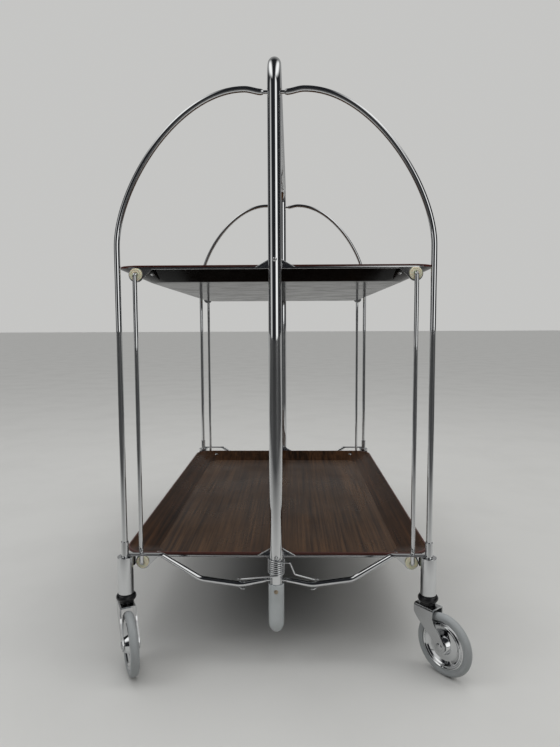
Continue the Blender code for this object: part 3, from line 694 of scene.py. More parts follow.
def grain_group():
    """Wood figure: bands, streaks and pores of noise stretched along Y. The figure is a mask from
    dark to light and the pores are a mask of their own."""
    group, inp, out = new_group(
        "Wood figure", [("Vector", "NodeSocketVector", None)],
        [("Figure", "NodeSocketFloat"), ("Pores", "NodeSocketFloat")])

    def stretched(scale, detail, distortion):
        """Noise at a scale of its own along each axis."""
        mapping = new_node(group, "ShaderNodeMapping", Scale=scale)
        noise = new_node(group, "ShaderNodeTexNoise", Scale=1.0, Detail=detail, Distortion=distortion)
        group.links.new(inp.outputs["Vector"], mapping.inputs["Vector"])
        group.links.new(mapping.outputs["Vector"], noise.inputs["Vector"])
        return noise.outputs["Fac"]

    bands = maths(group, "MULTIPLY", stretched(*GRAIN_BANDS), BAND_SHARE)
    both = maths(group, "MULTIPLY_ADD", stretched(*GRAIN_STREAKS), STREAK_SHARE, bands)
    figure = ranged(group, both, FIGURE_RANGE)
    pores = ranged(group, stretched(*GRAIN_PORES), PORE_RANGE)
    group.links.new(figure.outputs["Result"], out.inputs["Figure"])
    group.links.new(pores.outputs["Result"], out.inputs["Pores"])
    return group


class Finish:
    """A material's nodes, with shortcuts for what the finishes have in common."""

    def __init__(self, name):
        self.material = bpy.data.materials.new(name)
        self.material.use_nodes = True
        self.tree = self.material.node_tree
        self.shader = self.tree.nodes["Principled BSDF"]
        self.coords = self.tree.nodes.new("ShaderNodeTexCoord").outputs["Object"]

    def link(self, source, node, label):
        """Links an output to a node's input."""
        self.tree.links.new(source, node.inputs[label])

    def set(self, **values):
        """Sets the shader's own inputs by their names."""
        for label, value in values.items():
            self.shader.inputs[label.replace("_", " ")].default_value = value

    def placed_group(self, group, **values):
        """A shared group on this piece's coordinates, with its own values."""
        node = self.tree.nodes.new("ShaderNodeGroup")
        node.node_tree = group
        for label, value in values.items():
            node.inputs[label].default_value = value
        self.link(self.coords, node, "Vector")
        return node

    def smudged(self, group, scale, rough):
        """Smudges that vary the roughness between two values."""
        node = self.placed_group(group, Scale=scale, Least=rough[0], Most=rough[1])
        self.link(node.outputs["Roughness"], self.shader, "Roughness")
        return node

    def mixed(self, factor, first, second):
        """Colour between two colours, by a mask. The first may be another node's output."""
        mix = self.tree.nodes.new("ShaderNodeMix")
        mix.data_type = "RGBA"
        if isinstance(first, bpy.types.NodeSocket):
            self.link(first, mix, "A")
        else:
            mix.inputs["A"].default_value = (*first, 1)
        mix.inputs["B"].default_value = (*second, 1)
        self.link(factor, mix, "Factor")
        return mix.outputs["Result"]

    def bumped(self, height, strength, distance):
        """Small unevenness of the surface."""
        bump = new_node(self.tree, "ShaderNodeBump", Strength=strength, Distance=distance)
        self.link(height, bump, "Height")
        self.link(bump.outputs["Normal"], self.shader, "Normal")


def tinted(colour, share):
    """The colour made darker or lighter by a share."""
    return tuple(min(1.0, channel * share) for channel in colour)


def make_finishes(colours):
    """All materials, by name."""
    smudges = smudge_group()
    grain = grain_group()
    made = {}

    def chrome(name, colour, rough):
        """Plated steel whose smudges are a little darker and duller."""
        finish = Finish(name)
        node = finish.smudged(smudges, scale=16.0, rough=rough)
        base = finish.mixed(node.outputs["Mask"], colour, tinted(colour, share=0.9))
        finish.link(base, finish.shader, "Base Color")
        finish.set(Metallic=1.0)
        made[name] = finish.material

    chrome("bright_chrome", tuple(colours.chrome), rough=(0.02, 0.07))
    chrome("pressed_chrome", tinted(colours.chrome, share=0.80), rough=(0.10, 0.22))

    def plain(name, colour, rough, bump, worn, **values):
        """One colour, mixed with its worn tint in the smudges, over fine specks."""
        finish = Finish(name)
        node = finish.smudged(smudges, scale=30.0, rough=rough)
        base = finish.mixed(node.outputs["Mask"], tuple(colour), tinted(colour, worn))
        finish.link(base, finish.shader, "Base Color")
        finish.set(**values)
        finish.bumped(node.outputs["Height"], *bump)
        made[name] = finish.material

    plain("grey_rubber", colours.tyre, rough=(0.42, 0.60), bump=(0.25, 0.0003), worn=1.15)
    plain("black_rubber", colours.rubber, rough=(0.22, 0.36), bump=(0.10, 0.0002), worn=1.5,
          Specular_IOR_Level=0.35)
    plain("cream_nylon", colours.bush, rough=(0.30, 0.42), bump=(0.08, 0.0002), worn=0.93,
          Subsurface_Weight=0.12, Subsurface_Scale=0.002)
    plain("cap_plastic", colours.cap, rough=(0.14, 0.26), bump=(0.04, 0.0002), worn=1.2,
          Coat_Weight=0.7, Coat_Roughness=0.06)
    plain("tray_back", colours.tray_back, rough=(0.10, 0.20), bump=(0.02, 0.0002), worn=1.5,
          Specular_IOR_Level=0.12)
    plain("tray_edge", colours.tray_edge, rough=(0.28, 0.40), bump=(0.08, 0.0002), worn=1.4)

    def wood(name, dark, light, rough, shine):
        """Figure from dark to light, with darker pores."""
        finish = Finish(name)
        finish.smudged(smudges, scale=9.0, rough=rough)
        figure = finish.placed_group(grain)
        base = finish.mixed(figure.outputs["Figure"], dark, light)
        pores = maths(finish.tree, "MULTIPLY", figure.outputs["Pores"], PORE_STRENGTH)
        base = finish.mixed(pores, base, tinted(dark, PORE_TINT))
        finish.link(base, finish.shader, "Base Color")
        finish.set(Specular_IOR_Level=shine)
        finish.bumped(figure.outputs["Pores"], strength=0.02, distance=0.0001)
        made[name] = finish.material

    wood("wood_print", tuple(colours.wood_dark), tuple(colours.wood_light), rough=(0.24, 0.38), shine=0.11)
    # Painted shade: the tray's sloped sides get a darker copy of the same wood, standing in for the shade
    # that sets them apart from the floor
    wood("shaded_wood_sides", tinted(colours.wood_dark, share=0.6), SHADED_SIDE_LIGHT_GRAIN, rough=(0.22, 0.34),
         shine=0.06)

    screw = Finish("screw_steel")
    node = screw.smudged(smudges, scale=60.0, rough=(0.25, 0.45))
    base = screw.mixed(node.outputs["Mask"], SCREW_BRIGHT, SCREW_DULL)
    screw.link(base, screw.shader, "Base Color")
    screw.set(Metallic=0.9)
    made["screw_steel"] = screw.material
    return made


FINISHES = {}


def finishes():
    """The materials, made when they are first asked for."""
    if not FINISHES:
        FINISHES.update(make_finishes(bpy.context.scene.trolley_colours))
    return FINISHES


def sizes():
    """The sizes that a user may change."""
    return bpy.context.scene.trolley_sizes


# Pieces

def add_centre_frame():
    """The frame's tube: a circle carried up one bar, along the handle and down the other bar, with a
    slot on each side for every pair of hinge eyes. Its feet are open."""
    radius = sizes().bar_radius
    top = FRAME_HEIGHT - radius
    path = rounded([(0, -BAR_Y, BAR_FOOT), (0, -BAR_Y, top), (0, BAR_Y, top), (0, BAR_Y, BAR_FOOT)],
                   HANDLE_BEND, steps=28)
    piece = make_piece("fine_centre_frame", [tube_sheet(path, radius, BAR_ROUND)],
                       "bright_chrome", "frame", "centre_frame")
    opening = np.array([(-1, -1), (1, -1), (1, 1), (-1, 1)]) * (SLOT_HALF_WIDTH, SLOT_HALF_HEIGHT)
    tools = []
    for y in (-BAR_Y, BAR_Y):
        for height in (NECK_LOW, NECK_TOP):
            ring = np.column_stack([np.zeros(len(opening)), opening + (y, height)])
            for side in (-1, 1):
                ends = [ring + (side * reach * radius, 0, 0) for reach in SLOT_REACH]
                tools.append((np.stack(ends), "v", True, 0))
    carve(piece, tools)


def add_end_caps():
    """Bullet caps over the frame's open feet: a quarter of an ellipse below a cylinder, turned about
    the bar. A domed screw, a turned quarter of an ellipse, sits on each cap's outer face."""
    inner = sizes().bar_radius + GAP
    nose = dome(CAP_RADIUS, -CAP_NOSE, CAP_BOTTOM + CAP_NOSE, steps=17)
    lip = quarter((CAP_RADIUS - CAP_LIP, CAP_TOP - CAP_LIP), CAP_LIP, 0, 90, steps=4)
    cap = turned_sheet(nose + lip + [(inner, CAP_TOP), (inner, BAR_FOOT), (0, BAR_FOOT)])
    head = [(0, -SCREW_SEAT), (SCREW_RADIUS, -SCREW_SEAT), *dome(SCREW_RADIUS, SCREW_RISE, 0, steps=10)[::-1]]
    outward = shift(0, -SCREW_FACE, SCREW_HEIGHT) @ turn("X", math.pi / 2)
    screw = placed(turned_sheet(head, PIN_ROUND), outward)
    for end in ENDS:
        place = at_end(end)
        make_piece(f"fine_end_cap_{end}", [placed(cap, place)], "cap_plastic",
                   "frame", f"end_cap_{end}")
        make_piece(f"cap_screw_{end}", [placed(screw, place)], "screw_steel", "frame")


def add_hinge_cores():
    """The cores inside the bars keep their meshes and get the pressed chrome."""
    for end in ENDS:
        for level in LEVELS:
            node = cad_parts[f"hinge_core_{level}_{end}"]
            node.data.materials.clear()
            node.data.materials.append(finishes()["pressed_chrome"])


def add_tray_pivots():
    """Domed pins through the bar, each with a spacer between the bar and the rail: two profiles
    turned about Y."""
    seat = sizes().bar_radius + GAP
    tip = RAIL_PLANE + RAIL_THICKNESS
    pin = dome(PIVOT_HEAD_RADIUS, -PIVOT_HEAD_HEIGHT, -seat, steps=12)
    pin += [(PIVOT_RADIUS, -seat), (PIVOT_RADIUS, tip - PIVOT_BEVEL), (PIVOT_RADIUS - PIVOT_BEVEL, tip),
            (0, tip)]
    high = RAIL_PLANE - GAP
    spacer = soft([(PIVOT_RADIUS, seat), (SPACER_RADIUS, seat), (SPACER_RADIUS, high), (PIVOT_RADIUS, high)],
                  SPACER_BEND)
    for end in ENDS:
        for level, rim in LEVELS.items():
            place = at_end(end) @ shift(0, 0, rim + PIVOT_RISE) @ along_y()
            sheets = [placed(turned_sheet(profile, PIN_ROUND), place) for profile in (pin, spacer)]
            make_piece(f"fine_tray_pivot_{level}_{end}", sheets, "pressed_chrome",
                       "frame", f"tray_pivot_{level}_{end}")


def spring_path():
    """A helix round the bar, (r cos a, r sin a) while the height rises by the pitch a turn. Its two
    ends run out as arms over the foot bars and hook down behind them."""
    turns = np.arange(COIL_TURNS * COIL_STEPS + 1) / COIL_STEPS
    angle = math.tau * turns - math.pi / 2
    height = COIL_BOTTOM + COIL_PITCH * turns
    coil = np.stack([COIL_RADIUS * np.cos(angle), COIL_RADIUS * np.sin(angle), height], axis=1)
    belly = FOOT_BAR_CORNERS[-1][1]

    def arm(start, corners, side):
        """Straight runs with arcs at their corners, from the coil's end to the hook's tail."""
        wrist = np.array(corners[-1])
        over = (wrist[0] + side * HOOK_STEP, HOOK_BEHIND, wrist[2] - (wrist[2] - belly) * HOOK_DROP_SHARE)
        under = (over[0], HOOK_BEHIND, over[2] - HOOK_REACH - HOOK_STEP / 2)
        below = (wrist[0], 0.0, belly - HOOK_REACH)
        tail = (wrist[0] - side * HOOK_TAIL, 0.0, belly - HOOK_REACH)
        return rounded([start, *corners, over, under, below, tail], WIRE_BEND, steps=8)

    right = arm(coil[-1], RIGHT_ARM, 1)
    left = arm(coil[0], LEFT_ARM, -1)
    return np.vstack([left[1:][::-1], coil, right[1:]])


def add_springs():
    """Torsion springs, one unbroken wire each: a circle carried along the spring's path."""
    sheet = tube_sheet(spring_path(), sizes().wire_radius, WIRE_SIDES)
    for end in ENDS:
        make_piece(f"fine_spring_{end}", [placed(sheet, at_end(end))], "bright_chrome",
                   "frame", f"spring_{end}", WIRE_SHARP)


def neck_and_eye(path, height):
    """Radii along a tube that narrows by a smooth step to the neck at the path's end, and the
    hinge eye there, a turned disc with a rounded edge."""
    radius = sizes().tube_radius
    share = smooth_step((path[:, 0] - TUBE_END) / SHOULDER_RUN + 0.5)
    radii = NECK_RADIUS + (radius - NECK_RADIUS) * share
    half = EYE_HEIGHT / 2
    eye = soft([(0, -half), (EYE_RADIUS, -half), (EYE_RADIUS, half), (0, half)], EYE_BEND)
    return radii, placed(turned_sheet(eye, EYE_ROUND), shift(HINGE_OFFSET, 0, height))


def mirrored(sheet, side):
    """The sheet itself at side 1, and with X turned over at side -1."""
    grid, wrap, caps, slot = sheet
    return grid * (side, 1, 1), wrap, caps, slot


def neck_run(height):
    """Points close together down the tube's shoulder, and one at the neck's end."""
    shoulder = np.linspace(TUBE_END - SHOULDER_STEP, TUBE_END - SHOULDER_RUN, num=8)
    reach = np.r_[TUBE_END, shoulder, HINGE_OFFSET]
    return np.stack([reach, np.zeros(len(reach)), np.full(len(reach), height)], axis=1)


def leg_path():
    """A straight upright, a cubic curve over the arch, a second one that dips to the bar, and the
    neck's run."""
    arch = bezier((LEG_REACH, 0, ARCH_SPRING), (LEG_REACH, 0, ARCH_SPRING + ARCH_RISE),
                  (ARCH_CROWN + ARCH_RUN, 0, ARCH_TOP), (ARCH_CROWN, 0, ARCH_TOP), steps=48)
    dip = bezier((ARCH_CROWN, 0, ARCH_TOP), (ARCH_CROWN - NECK_RISE, 0, ARCH_TOP),
                 (TUBE_END + NECK_RISE, 0, NECK_TOP), (TUBE_END, 0, NECK_TOP), steps=10)
    upright = np.linspace((LEG_REACH, 0, LEG_FOOT), (LEG_REACH, 0, ARCH_SPRING), num=9)
    return np.vstack([upright[:-1], arch, dip[1:-1], neck_run(NECK_TOP)])


def foot_bar_path():
    """A level strip from the leg, straight runs with arcs at their corners, and the neck's run."""
    reach, height = FOOT_BAR_CORNERS[0]
    strip = np.linspace((reach, 0, height), (FOOT_BAR_STRIP_FROM, 0, height), num=6)
    corners = [(x, 0, z) for x, z in FOOT_BAR_CORNERS] + [(TUBE_END, 0, NECK_LOW)]
    return np.vstack([strip, rounded(corners, FOOT_BAR_BENDS, steps=12)[1:-1], neck_run(NECK_LOW)])


def flattened(sheet, path):
    """The foot bar's sheet, pressed flat towards its outer end by a smooth step along X."""
    grid, wrap, caps, slot = sheet
    run = FOOT_BAR_FLAT_TO - FOOT_BAR_FLAT_FROM
    share = smooth_step((path[:, 0] - FOOT_BAR_FLAT_FROM) / run)[:, None]
    middle = path[:, 2][:, None]
    height = middle + (grid[:, :, 2] - middle) * (1 + (FOOT_BAR_FLAT_HEIGHT - 1) * share)
    depth = grid[:, :, 1] * (1 + (FOOT_BAR_FLAT_WIDTH - 1) * share)
    return np.stack([grid[:, :, 0], depth, height], axis=2), wrap, caps, slot


def add_leg_frames():
    """Arched legs and bent foot bars: circles carried along their paths, each with a neck and a
    hinge eye inside the bar."""
    leg, foot_bar = leg_path(), foot_bar_path()
    leg_radii, leg_eye = neck_and_eye(leg, NECK_TOP)
    foot_bar_radii, foot_bar_eye = neck_and_eye(foot_bar, NECK_LOW)
    shapes = {"leg": (tube_sheet(leg, leg_radii), leg_eye),
              "foot_bar": (flattened(tube_sheet(foot_bar, foot_bar_radii), foot_bar), foot_bar_eye)}
    for corner, (end, side, _) in CORNERS.items():
        for kind, sheets in shapes.items():
            own = [placed(mirrored(sheet, side), at_end(end)) for sheet in sheets]
            make_piece(f"fine_{kind}_{corner}", own, "bright_chrome",
                       f"gate_{corner}", f"{kind}_{corner}")


def add_sockets():
    """Caster sockets with a collar, and black bumper rings below them: closed profiles turned about
    the leg's axis."""
    bore = STEM_RADIUS + GAP
    seat = sizes().tube_radius + GAP / 2
    socket = soft([(bore, SOCKET_BOTTOM + SOCKET_BORE_DEPTH), (bore, SOCKET_BOTTOM),
                   (SOCKET_RADIUS, SOCKET_BOTTOM), (SOCKET_RADIUS, SOCKET_TOP), (COLLAR_RADIUS, SOCKET_TOP),
                   (COLLAR_RADIUS, COLLAR_TOP), (seat, COLLAR_TOP), (seat, COLLAR_TOP - COLLAR_BORE_DEPTH)],
                  SOCKET_BEND, steps=6)
    half = (BUMPER_TOP - BUMPER_BOTTOM) / 2
    bead = quarter((BUMPER_RADIUS - half, BUMPER_BOTTOM + half), half, BUMPER_BEAD_FROM, 90, steps=16)
    bend = BUMPER_NECK_BEND
    neck = quarter((BUMPER_NECK_RADIUS - bend, BUMPER_NECK_BOTTOM + bend), bend, -90, 0, steps=4)
    bumper = [(bore, BUMPER_NECK_BOTTOM), *neck, (BUMPER_NECK_RADIUS, BUMPER_BOTTOM + bend), *bead,
              (bore, BUMPER_TOP)]
    for corner, (end, side, _) in CORNERS.items():
        place = at_end(end) @ shift(side * LEG_REACH, 0, 0)
        make_piece(f"fine_socket_{corner}", [placed(turned_sheet(socket, closed=True), place)],
                   "bright_chrome", f"gate_{corner}", f"caster_socket_{corner}")
        make_piece(f"fine_bumper_{corner}", [placed(turned_sheet(bumper, closed=True), place)],
                   "black_rubber", f"gate_{corner}", f"bumper_ring_{corner}")


def cheek_limits(height):
    """Back and front edge of the fork's cheek at a height: straight down from the plate, then drawn
    in by a smooth step to the circle round the axle."""
    wheel = sizes().wheel_radius
    start = PLATE_TOP - FORK_CHEEK
    drop = np.clip((start - height) / (start - wheel), 0, 1)
    step = smooth_step(drop)
    below = np.clip(wheel - height, 0, FORK_END_RADIUS)
    half = np.sqrt(np.maximum(FORK_END_RADIUS ** 2 - below ** 2, 0))
    back = -FORK_BACK + (TRAIL + FORK_BACK - half) * (step * FORK_BACK_CURVE + drop * (1 - FORK_BACK_CURVE))
    front = FORK_FRONT + (TRAIL - FORK_FRONT + half) * step
    return np.where(height > wheel, back, TRAIL - half), np.where(height > wheel, front, TRAIL + half)


def fork_sheet():
    """A folded U of plate. It is a grid of two parameters: one runs up one cheek, across the top and
    down the other, and one runs from the back edge to the front edge, out and back again inside."""
    wheel = sizes().wheel_radius
    bottom = wheel - FORK_END_RADIUS
    near, next_one = FORK_EDGE_SHARES
    share = np.r_[0, near, np.linspace(next_one, 1 - next_one, num=13), 1 - near, 1]
    sheets = []
    for wall in (PLATE_THICKNESS, 0.0):
        side = FORK_HALF_GAP + wall
        top = PLATE_TOP - PLATE_THICKNESS + wall
        bend = FORK_BEND + wall
        end_z = bottom + (1 - np.cos(np.linspace(0, math.pi / 2, num=12))) * FORK_END_RADIUS
        cheek_z = np.r_[end_z, np.linspace(wheel, top - bend, num=26)[1:]]
        half = [(-side, z) for z in cheek_z] + quarter((bend - side, top - bend), bend, 180, 90, steps=6)[1:]
        path = np.array(half + [(-y, z) for y, z in reversed(half)])
        back, front = cheek_limits(path[:, 1])
        x = back[:, None] + (front - back)[:, None] * share
        y, z = (np.broadcast_to(column[:, None], x.shape) for column in path.T)
        sheets.append(np.stack([x, y, z], axis=2))
    outer, inner = sheets
    return np.concatenate([outer, inner[:, ::-1]], axis=1), "v", True, 0


def add_forks():
    """Folded brackets, with their stems, washers and domed axles as turned profiles."""
    head = dome(AXLE_HEAD_RADIUS, AXLE_HEAD_HEIGHT, FORK_HALF_GAP + PLATE_THICKNESS, steps=12)
    half = head + [(AXLE_RADIUS, FORK_HALF_GAP + PLATE_THICKNESS - AXLE_HEAD_EDGE)]
    axle = np.array(half + [(r, -y) for r, y in reversed(half)])
    foot = PLATE_TOP - STEM_SEAT
    stem = soft([(0, foot), (STEM_RADIUS, foot), (STEM_RADIUS, STEM_TOP), (0, STEM_TOP)], STEM_BEND)
    low, high = PLATE_TOP - WASHER_DROP, PLATE_TOP + WASHER_RISE
    washer = soft([(0, low), (WASHER_RADIUS, low), (WASHER_RADIUS, high), (0, high)], WASHER_BEND)
    for corner in CORNERS:
        place = at_caster(corner)
        sheets = [placed(fork_sheet(), place), placed(turned_sheet(stem, PIN_ROUND), place),
                  placed(turned_sheet(washer, HUB_ROUND), place),
                  placed(turned_sheet(axle, HUB_ROUND), place @ to_hub())]
        make_piece(f"fine_fork_{corner}", sheets, "pressed_chrome",
                   f"caster_{corner}", f"fork_{corner}")


def add_wheels():
    """Dished discs with a rolled lip, and grey tyres with a rounded tread and a line on each side:
    closed profiles, the same on both sides, turned about the axle."""
    half = soft([(AXLE_RADIUS + GAP, HUB_HALF_WIDTH), *DISC_FACE], DISC_BEND, steps=6)
    disc = np.vstack([half, (half * (1, -1))[::-1]])
    inner = RIM_RADIUS + GAP
    middle = sizes().wheel_radius - TREAD_CROWN
    tread = [(middle + TREAD_CROWN * math.cos(a), TYRE_HALF_WIDTH * math.sin(a))
             for a in np.linspace(0, TREAD_ANGLE, num=14)]
    upper = tread + [(middle, TYRE_HALF_WIDTH)]
    upper += [(inner + rise, TYRE_HALF_WIDTH * share) for rise, share in TYRE_SIDE]
    tyre = np.array(upper + [(r, -y) for r, y in reversed(upper[1:])])
    for corner in CORNERS:
        hub = at_caster(corner) @ to_hub()
        make_piece(f"fine_wheel_disc_{corner}", [placed(turned_sheet(disc, DISC_ROUND, True), hub)],
                   "bright_chrome", f"wheel_{corner}", f"wheel_disc_{corner}")
        make_piece(f"fine_tyre_{corner}", [placed(turned_sheet(tyre, TYRE_ROUND, True), hub)],
                   "grey_rubber", f"wheel_{corner}", f"tyre_{corner}")


def tray_ring(inset, corner, height):
    """A rounded rectangle drawn in from the tray's outline: four quarter circles and four sides."""
    half = np.array([TRAY_HIGH.x - inset - corner, TRAY_HIGH.y - inset - corner])
    signs = np.array([(1, 1), (-1, 1), (-1, -1), (1, -1)])
    points = []
    for quadrant, sign in enumerate(signs):
        angle = (quadrant + np.linspace(0, 1, num=14)) * math.pi / 2
        arc = sign * half + corner * np.stack([np.cos(angle), np.sin(angle)], axis=1)
        run = (signs[(quadrant + 1) % 4] - sign) * half
        points += [arc, arc[-1] + run * np.linspace(0, 1, num=12)[1:-1, None]]
    flat = np.vstack(points)
    return np.column_stack([flat, np.full(len(flat), height)])


def tray_profile():
    """From the underside's middle out to the rim, over it and down to the floor's middle, with
    rounded bends: arrays of inset, height, corner radius and material."""
    floor = TRAY_THICKNESS - TRAY_DEPTH
    outside = [(TRAY_FLAT, -TRAY_DEPTH), (TRAY_SLOPE, -TRAY_DEPTH), (0, -TRAY_EDGE)]
    inside = [(TRAY_INNER_EDGE, 0), (TRAY_SLOPE + TRAY_THICKNESS / 2, floor), (TRAY_FLAT, floor)]
    rim = soft([*outside, (0, 0), *inside], TRAY_RIM_BEND)
    rim = rim[rim[:, 0] < TRAY_RIM_END]
    under = soft(outside, TRAY_UNDER_BEND, steps=8)[:-1]
    inset, height = np.vstack([under, rim, soft(inside, TRAY_FLOOR_BEND, steps=8)[1:]]).T
    corner = TRAY_CORNER + (TRAY_FLOOR_CORNER - TRAY_CORNER) * np.clip(inset / TRAY_SLOPE, 0, 1)
    wood, edge, back, sides = range(len(TRAY_FINISHES))
    # The sloped sides take the darker wood copy: painted shade
    sloped = (inset[1:] + inset[:-1]) / 2 < TRAY_SLOPE - TRAY_PRINT_OVERLAP
    material = np.where(sloped, sides, wood)
    material[:len(under)] = back
    material[len(under):len(under) + len(rim) - 1] = edge
    return inset, height, corner, material


def add_trays():
    """Dished trays: rounded rectangles lofted along a profile that goes from the underside round the
    rim to the floor. Wood pattern inside, with painted shade on the sloped sides as a darker copy of
    the wood, a dark red rim and a black underside."""
    inset, height, corner, material = tray_profile()
    for level, rim in LEVELS.items():
        rows = [tray_ring(i, c, rim + h) for i, h, c in zip(inset, height, corner)]
        make_piece(f"fine_{level}_tray", [(np.stack(rows), "v", True, material)],
                   TRAY_FINISHES, f"{level}_tray", f"{level}_tray", TRAY_SHARP)


def rivet_place(side, rim):
    """Centre of a rivet on the tray's lower sloped face, with +Z square to the slope."""
    drop = TRAY_EDGE + RIVET_INSET * math.tan(SLOPE_ANGLE)
    return shift(side * TAB_REACH, TRAY_END + RIVET_INSET, rim - drop) @ turn("X", -SLOPE_ANGLE)


def rail_outline():
    """The rail's outline, counted from the rim's top, as (x, z) points: a long plate with a round
    lug at each end and a pointed one in the middle."""
    lug = quarter((BUSH_REACH, -BUSH_DROP), BUSH_LUG_RADIUS, BUSH_LUG_FROM, BUSH_LUG_TO, steps=26)
    right = [(BUSH_LUG_FOOT, -RAIL_BOTTOM), *lug, (RAIL_END, -RAIL_TOP), (LUG_FOOT, -RAIL_TOP),
             (LUG_SHOULDER, LUG_SHOULDER_RISE), (LUG_TOP, LUG_RISE)]
    return np.array(right + [(-x, z) for x, z in reversed(right)])


def rail_sheets(rim):
    """The pressed plate, its raised lower bead and lug beads, and the tabs with their rivets."""
    sheets = [plate_sheet(rail_outline() + (0, rim), RAIL_PLANE, RAIL_PLANE + RAIL_THICKNESS, RAIL_BEVEL)]
    bead = RAIL_BEAD
    y = RAIL_PLANE + bead / 3
    for side in (-1, 1):
        lug = [(LUG_FOOT, -RAIL_TOP - bead), (LUG_SHOULDER + bead, LUG_SHOULDER_RISE - bead),
               (LUG_TOP, LUG_RISE - 2 * bead)]
        sheets.append(tube_sheet(ease([(side * x, y, rim + z) for x, z in lug], steps=24), bead, WIRE_SIDES))
    low = [(side * BUSH_LUG_FOOT, y, rim - RAIL_BOTTOM + bead) for side in (-1, 1)]
    sheets.append(tube_sheet(ease(low, steps=24), bead, WIRE_SIDES))
    root = (RIVET_INSET + GAP + RAIL_THICKNESS / 2) / math.cos(SLOPE_ANGLE)
    half, tail = TAB_WIDTH / 2, TAB_TAIL - TAB_BEND
    tab = [(-half, -root), (half, -root), *quarter((half - TAB_BEND, tail), TAB_BEND, 0, 90, steps=6),
           *quarter((TAB_BEND - half, tail), TAB_BEND, 90, 180, steps=6)]
    flat = plate_sheet(tab, GAP, GAP + TAB_THICKNESS, TAB_BEVEL, 1)
    lay = turn("X", -math.pi / 2) @ np.diag([1.0, 1.0, -1.0, 1.0])
    for side in (-1, 1):
        place = rivet_place(side, rim)
        sheets += [placed(flat, place @ lay), placed(turned_sheet(rivet_profile(), PIN_ROUND), place)]
    return sheets


def rivet_profile():
    """A domed head on the tray's inner slope and a shank down to a closed head under the tab."""
    inner_run = TRAY_SLOPE + TRAY_THICKNESS / 2 - TRAY_EDGE
    inner_drop = (RIVET_INSET - TRAY_EDGE) * (TRAY_DEPTH - TRAY_THICKNESS) / inner_run
    outer_drop = TRAY_EDGE + RIVET_INSET * math.tan(SLOPE_ANGLE)
    top = (outer_drop - inner_drop) * math.cos(SLOPE_ANGLE)
    low = -GAP - TAB_THICKNESS
    return [*dome(RIVET_HEAD_RADIUS, RIVET_HEAD_HEIGHT, top, steps=10), (RIVET_SHANK_RADIUS, top),
            (RIVET_SHANK_RADIUS, low), *dome(RIVET_FOOT_RADIUS, -RIVET_FOOT_HEIGHT, low, steps=8)[::-1]]


def add_rails():
    """End rails of both trays: bevelled plates with beads, tabs and rivets."""
    for level, rim in LEVELS.items():
        for end in ENDS:
            sheets = [placed(sheet, at_end(end)) for sheet in rail_sheets(rim)]
            make_piece(f"fine_{level}_rail_{end}", sheets, RAIL_FINISHES, f"{level}_tray",
                       f"{level}_rail_{end}")


def add_bushes():
    """Flanged bushes with a bevelled rim and a shallow ring round the bore: a closed profile turned
    about the bore."""
    bore = sizes().rod_radius + GAP
    half = BUSH_LENGTH / 2
    lip = bore + BUSH_LIP
    profile = soft([(bore, -half), (lip, -half), (lip + BUSH_LIP_SLOPE, -half + BUSH_RECESS),
                    (BUSH_RADIUS - BUSH_RIM, -half + BUSH_RIM_RECESS), (BUSH_RADIUS, -half + BUSH_BEVEL),
                    (BUSH_RADIUS, half), (bore, half)], BUSH_BEND)
    profile = np.vstack([profile, [(bore, -half)]])
    for level, rim in LEVELS.items():
        for corner, (end, side, _) in CORNERS.items():
            place = at_end(end) @ shift(side * BUSH_REACH, BUSH_PLANE + half, rim - BUSH_DROP) @ along_y()
            make_piece(f"fine_{level}_bush_{corner}", [placed(turned_sheet(profile, BUSH_ROUND), place)],
                       "cream_nylon", f"{level}_tray", f"{level}_bush_{corner}")


def add_link_rods():
    """Rods between the trays' bushes: a circle carried up a straight rod and round an arc through
    the bush at each end."""
    tail = RAIL_PLANE + RAIL_THICKNESS + ROD_TAIL
    high, low = UPPER_RIM - BUSH_DROP, LOWER_RIM - BUSH_DROP
    corners = [(0, tail, high), (0, ROD_PLANE, high), (0, ROD_PLANE, low), (0, tail, low)]
    sheet = tube_sheet(rounded(corners, ROD_BEND, steps=12), sizes().rod_radius)
    for corner, (end, side, _) in CORNERS.items():
        place = at_end(end) @ shift(side * BUSH_REACH, 0, 0)
        make_piece(f"fine_link_rod_{corner}", [placed(sheet, place)], "bright_chrome",
                   f"rod_{corner}", f"link_rod_{corner}")


def add_catches():
    """Soft black pads at the lower tray's corners, between the tray and the legs: rounded rectangles
    with a bevel."""
    low, high = LOWER_RIM - CATCH_BOTTOM, LOWER_RIM - CATCH_TOP
    for corner, (end, side, _) in CORNERS.items():
        x0, x1 = sorted((side * CATCH_INNER, side * CATCH_OUTER))
        middle = (x0 + x1) / 2
        outline = soft([(middle, low), (x1, low), (x1, high), (x0, high), (x0, low), (middle, low)],
                       CATCH_BEND, steps=6)[:-1]
        sheet = plate_sheet(outline, CATCH_PLANE, CATCH_PLANE + CATCH_THICKNESS, CATCH_BEVEL)
        make_piece(f"corner_catch_{corner}", [placed(sheet, at_end(end))], "black_rubber",
                   "lower_tray")


# Stage

def add_camera():
    """A camera fitted to the photograph: yaw and pitch give its direction, roll turns it."""
    camera = bpy.data.objects.new("camera", bpy.data.cameras.new("camera"))
    camera.data.sensor_fit = "HORIZONTAL"
    camera.data.sensor_width = SENSOR_WIDTH
    camera.data.lens = CAMERA_LENS
    camera.data.clip_start = CAMERA_NEAR
    yaw, pitch, roll = CAMERA_YAW, CAMERA_PITCH, CAMERA_ROLL
    ahead = np.array([math.sin(yaw) * math.cos(pitch), math.cos(yaw) * math.cos(pitch), -math.sin(pitch)])
    level = np.array([math.cos(yaw), -math.sin(yaw), 0])
    upright = np.cross(level, ahead)
    matrix = np.eye(4)
    matrix[:3, 0] = level * math.cos(roll) + upright * math.sin(roll)
    matrix[:3, 1] = upright * math.cos(roll) - level * math.sin(roll)
    matrix[:3, 2] = -ahead
    matrix[:3, 3] = CAMERA_PLACE
    camera.matrix_world = Matrix(matrix.tolist())
    bpy.context.scene.collection.objects.link(camera)
    bpy.context.scene.camera = camera


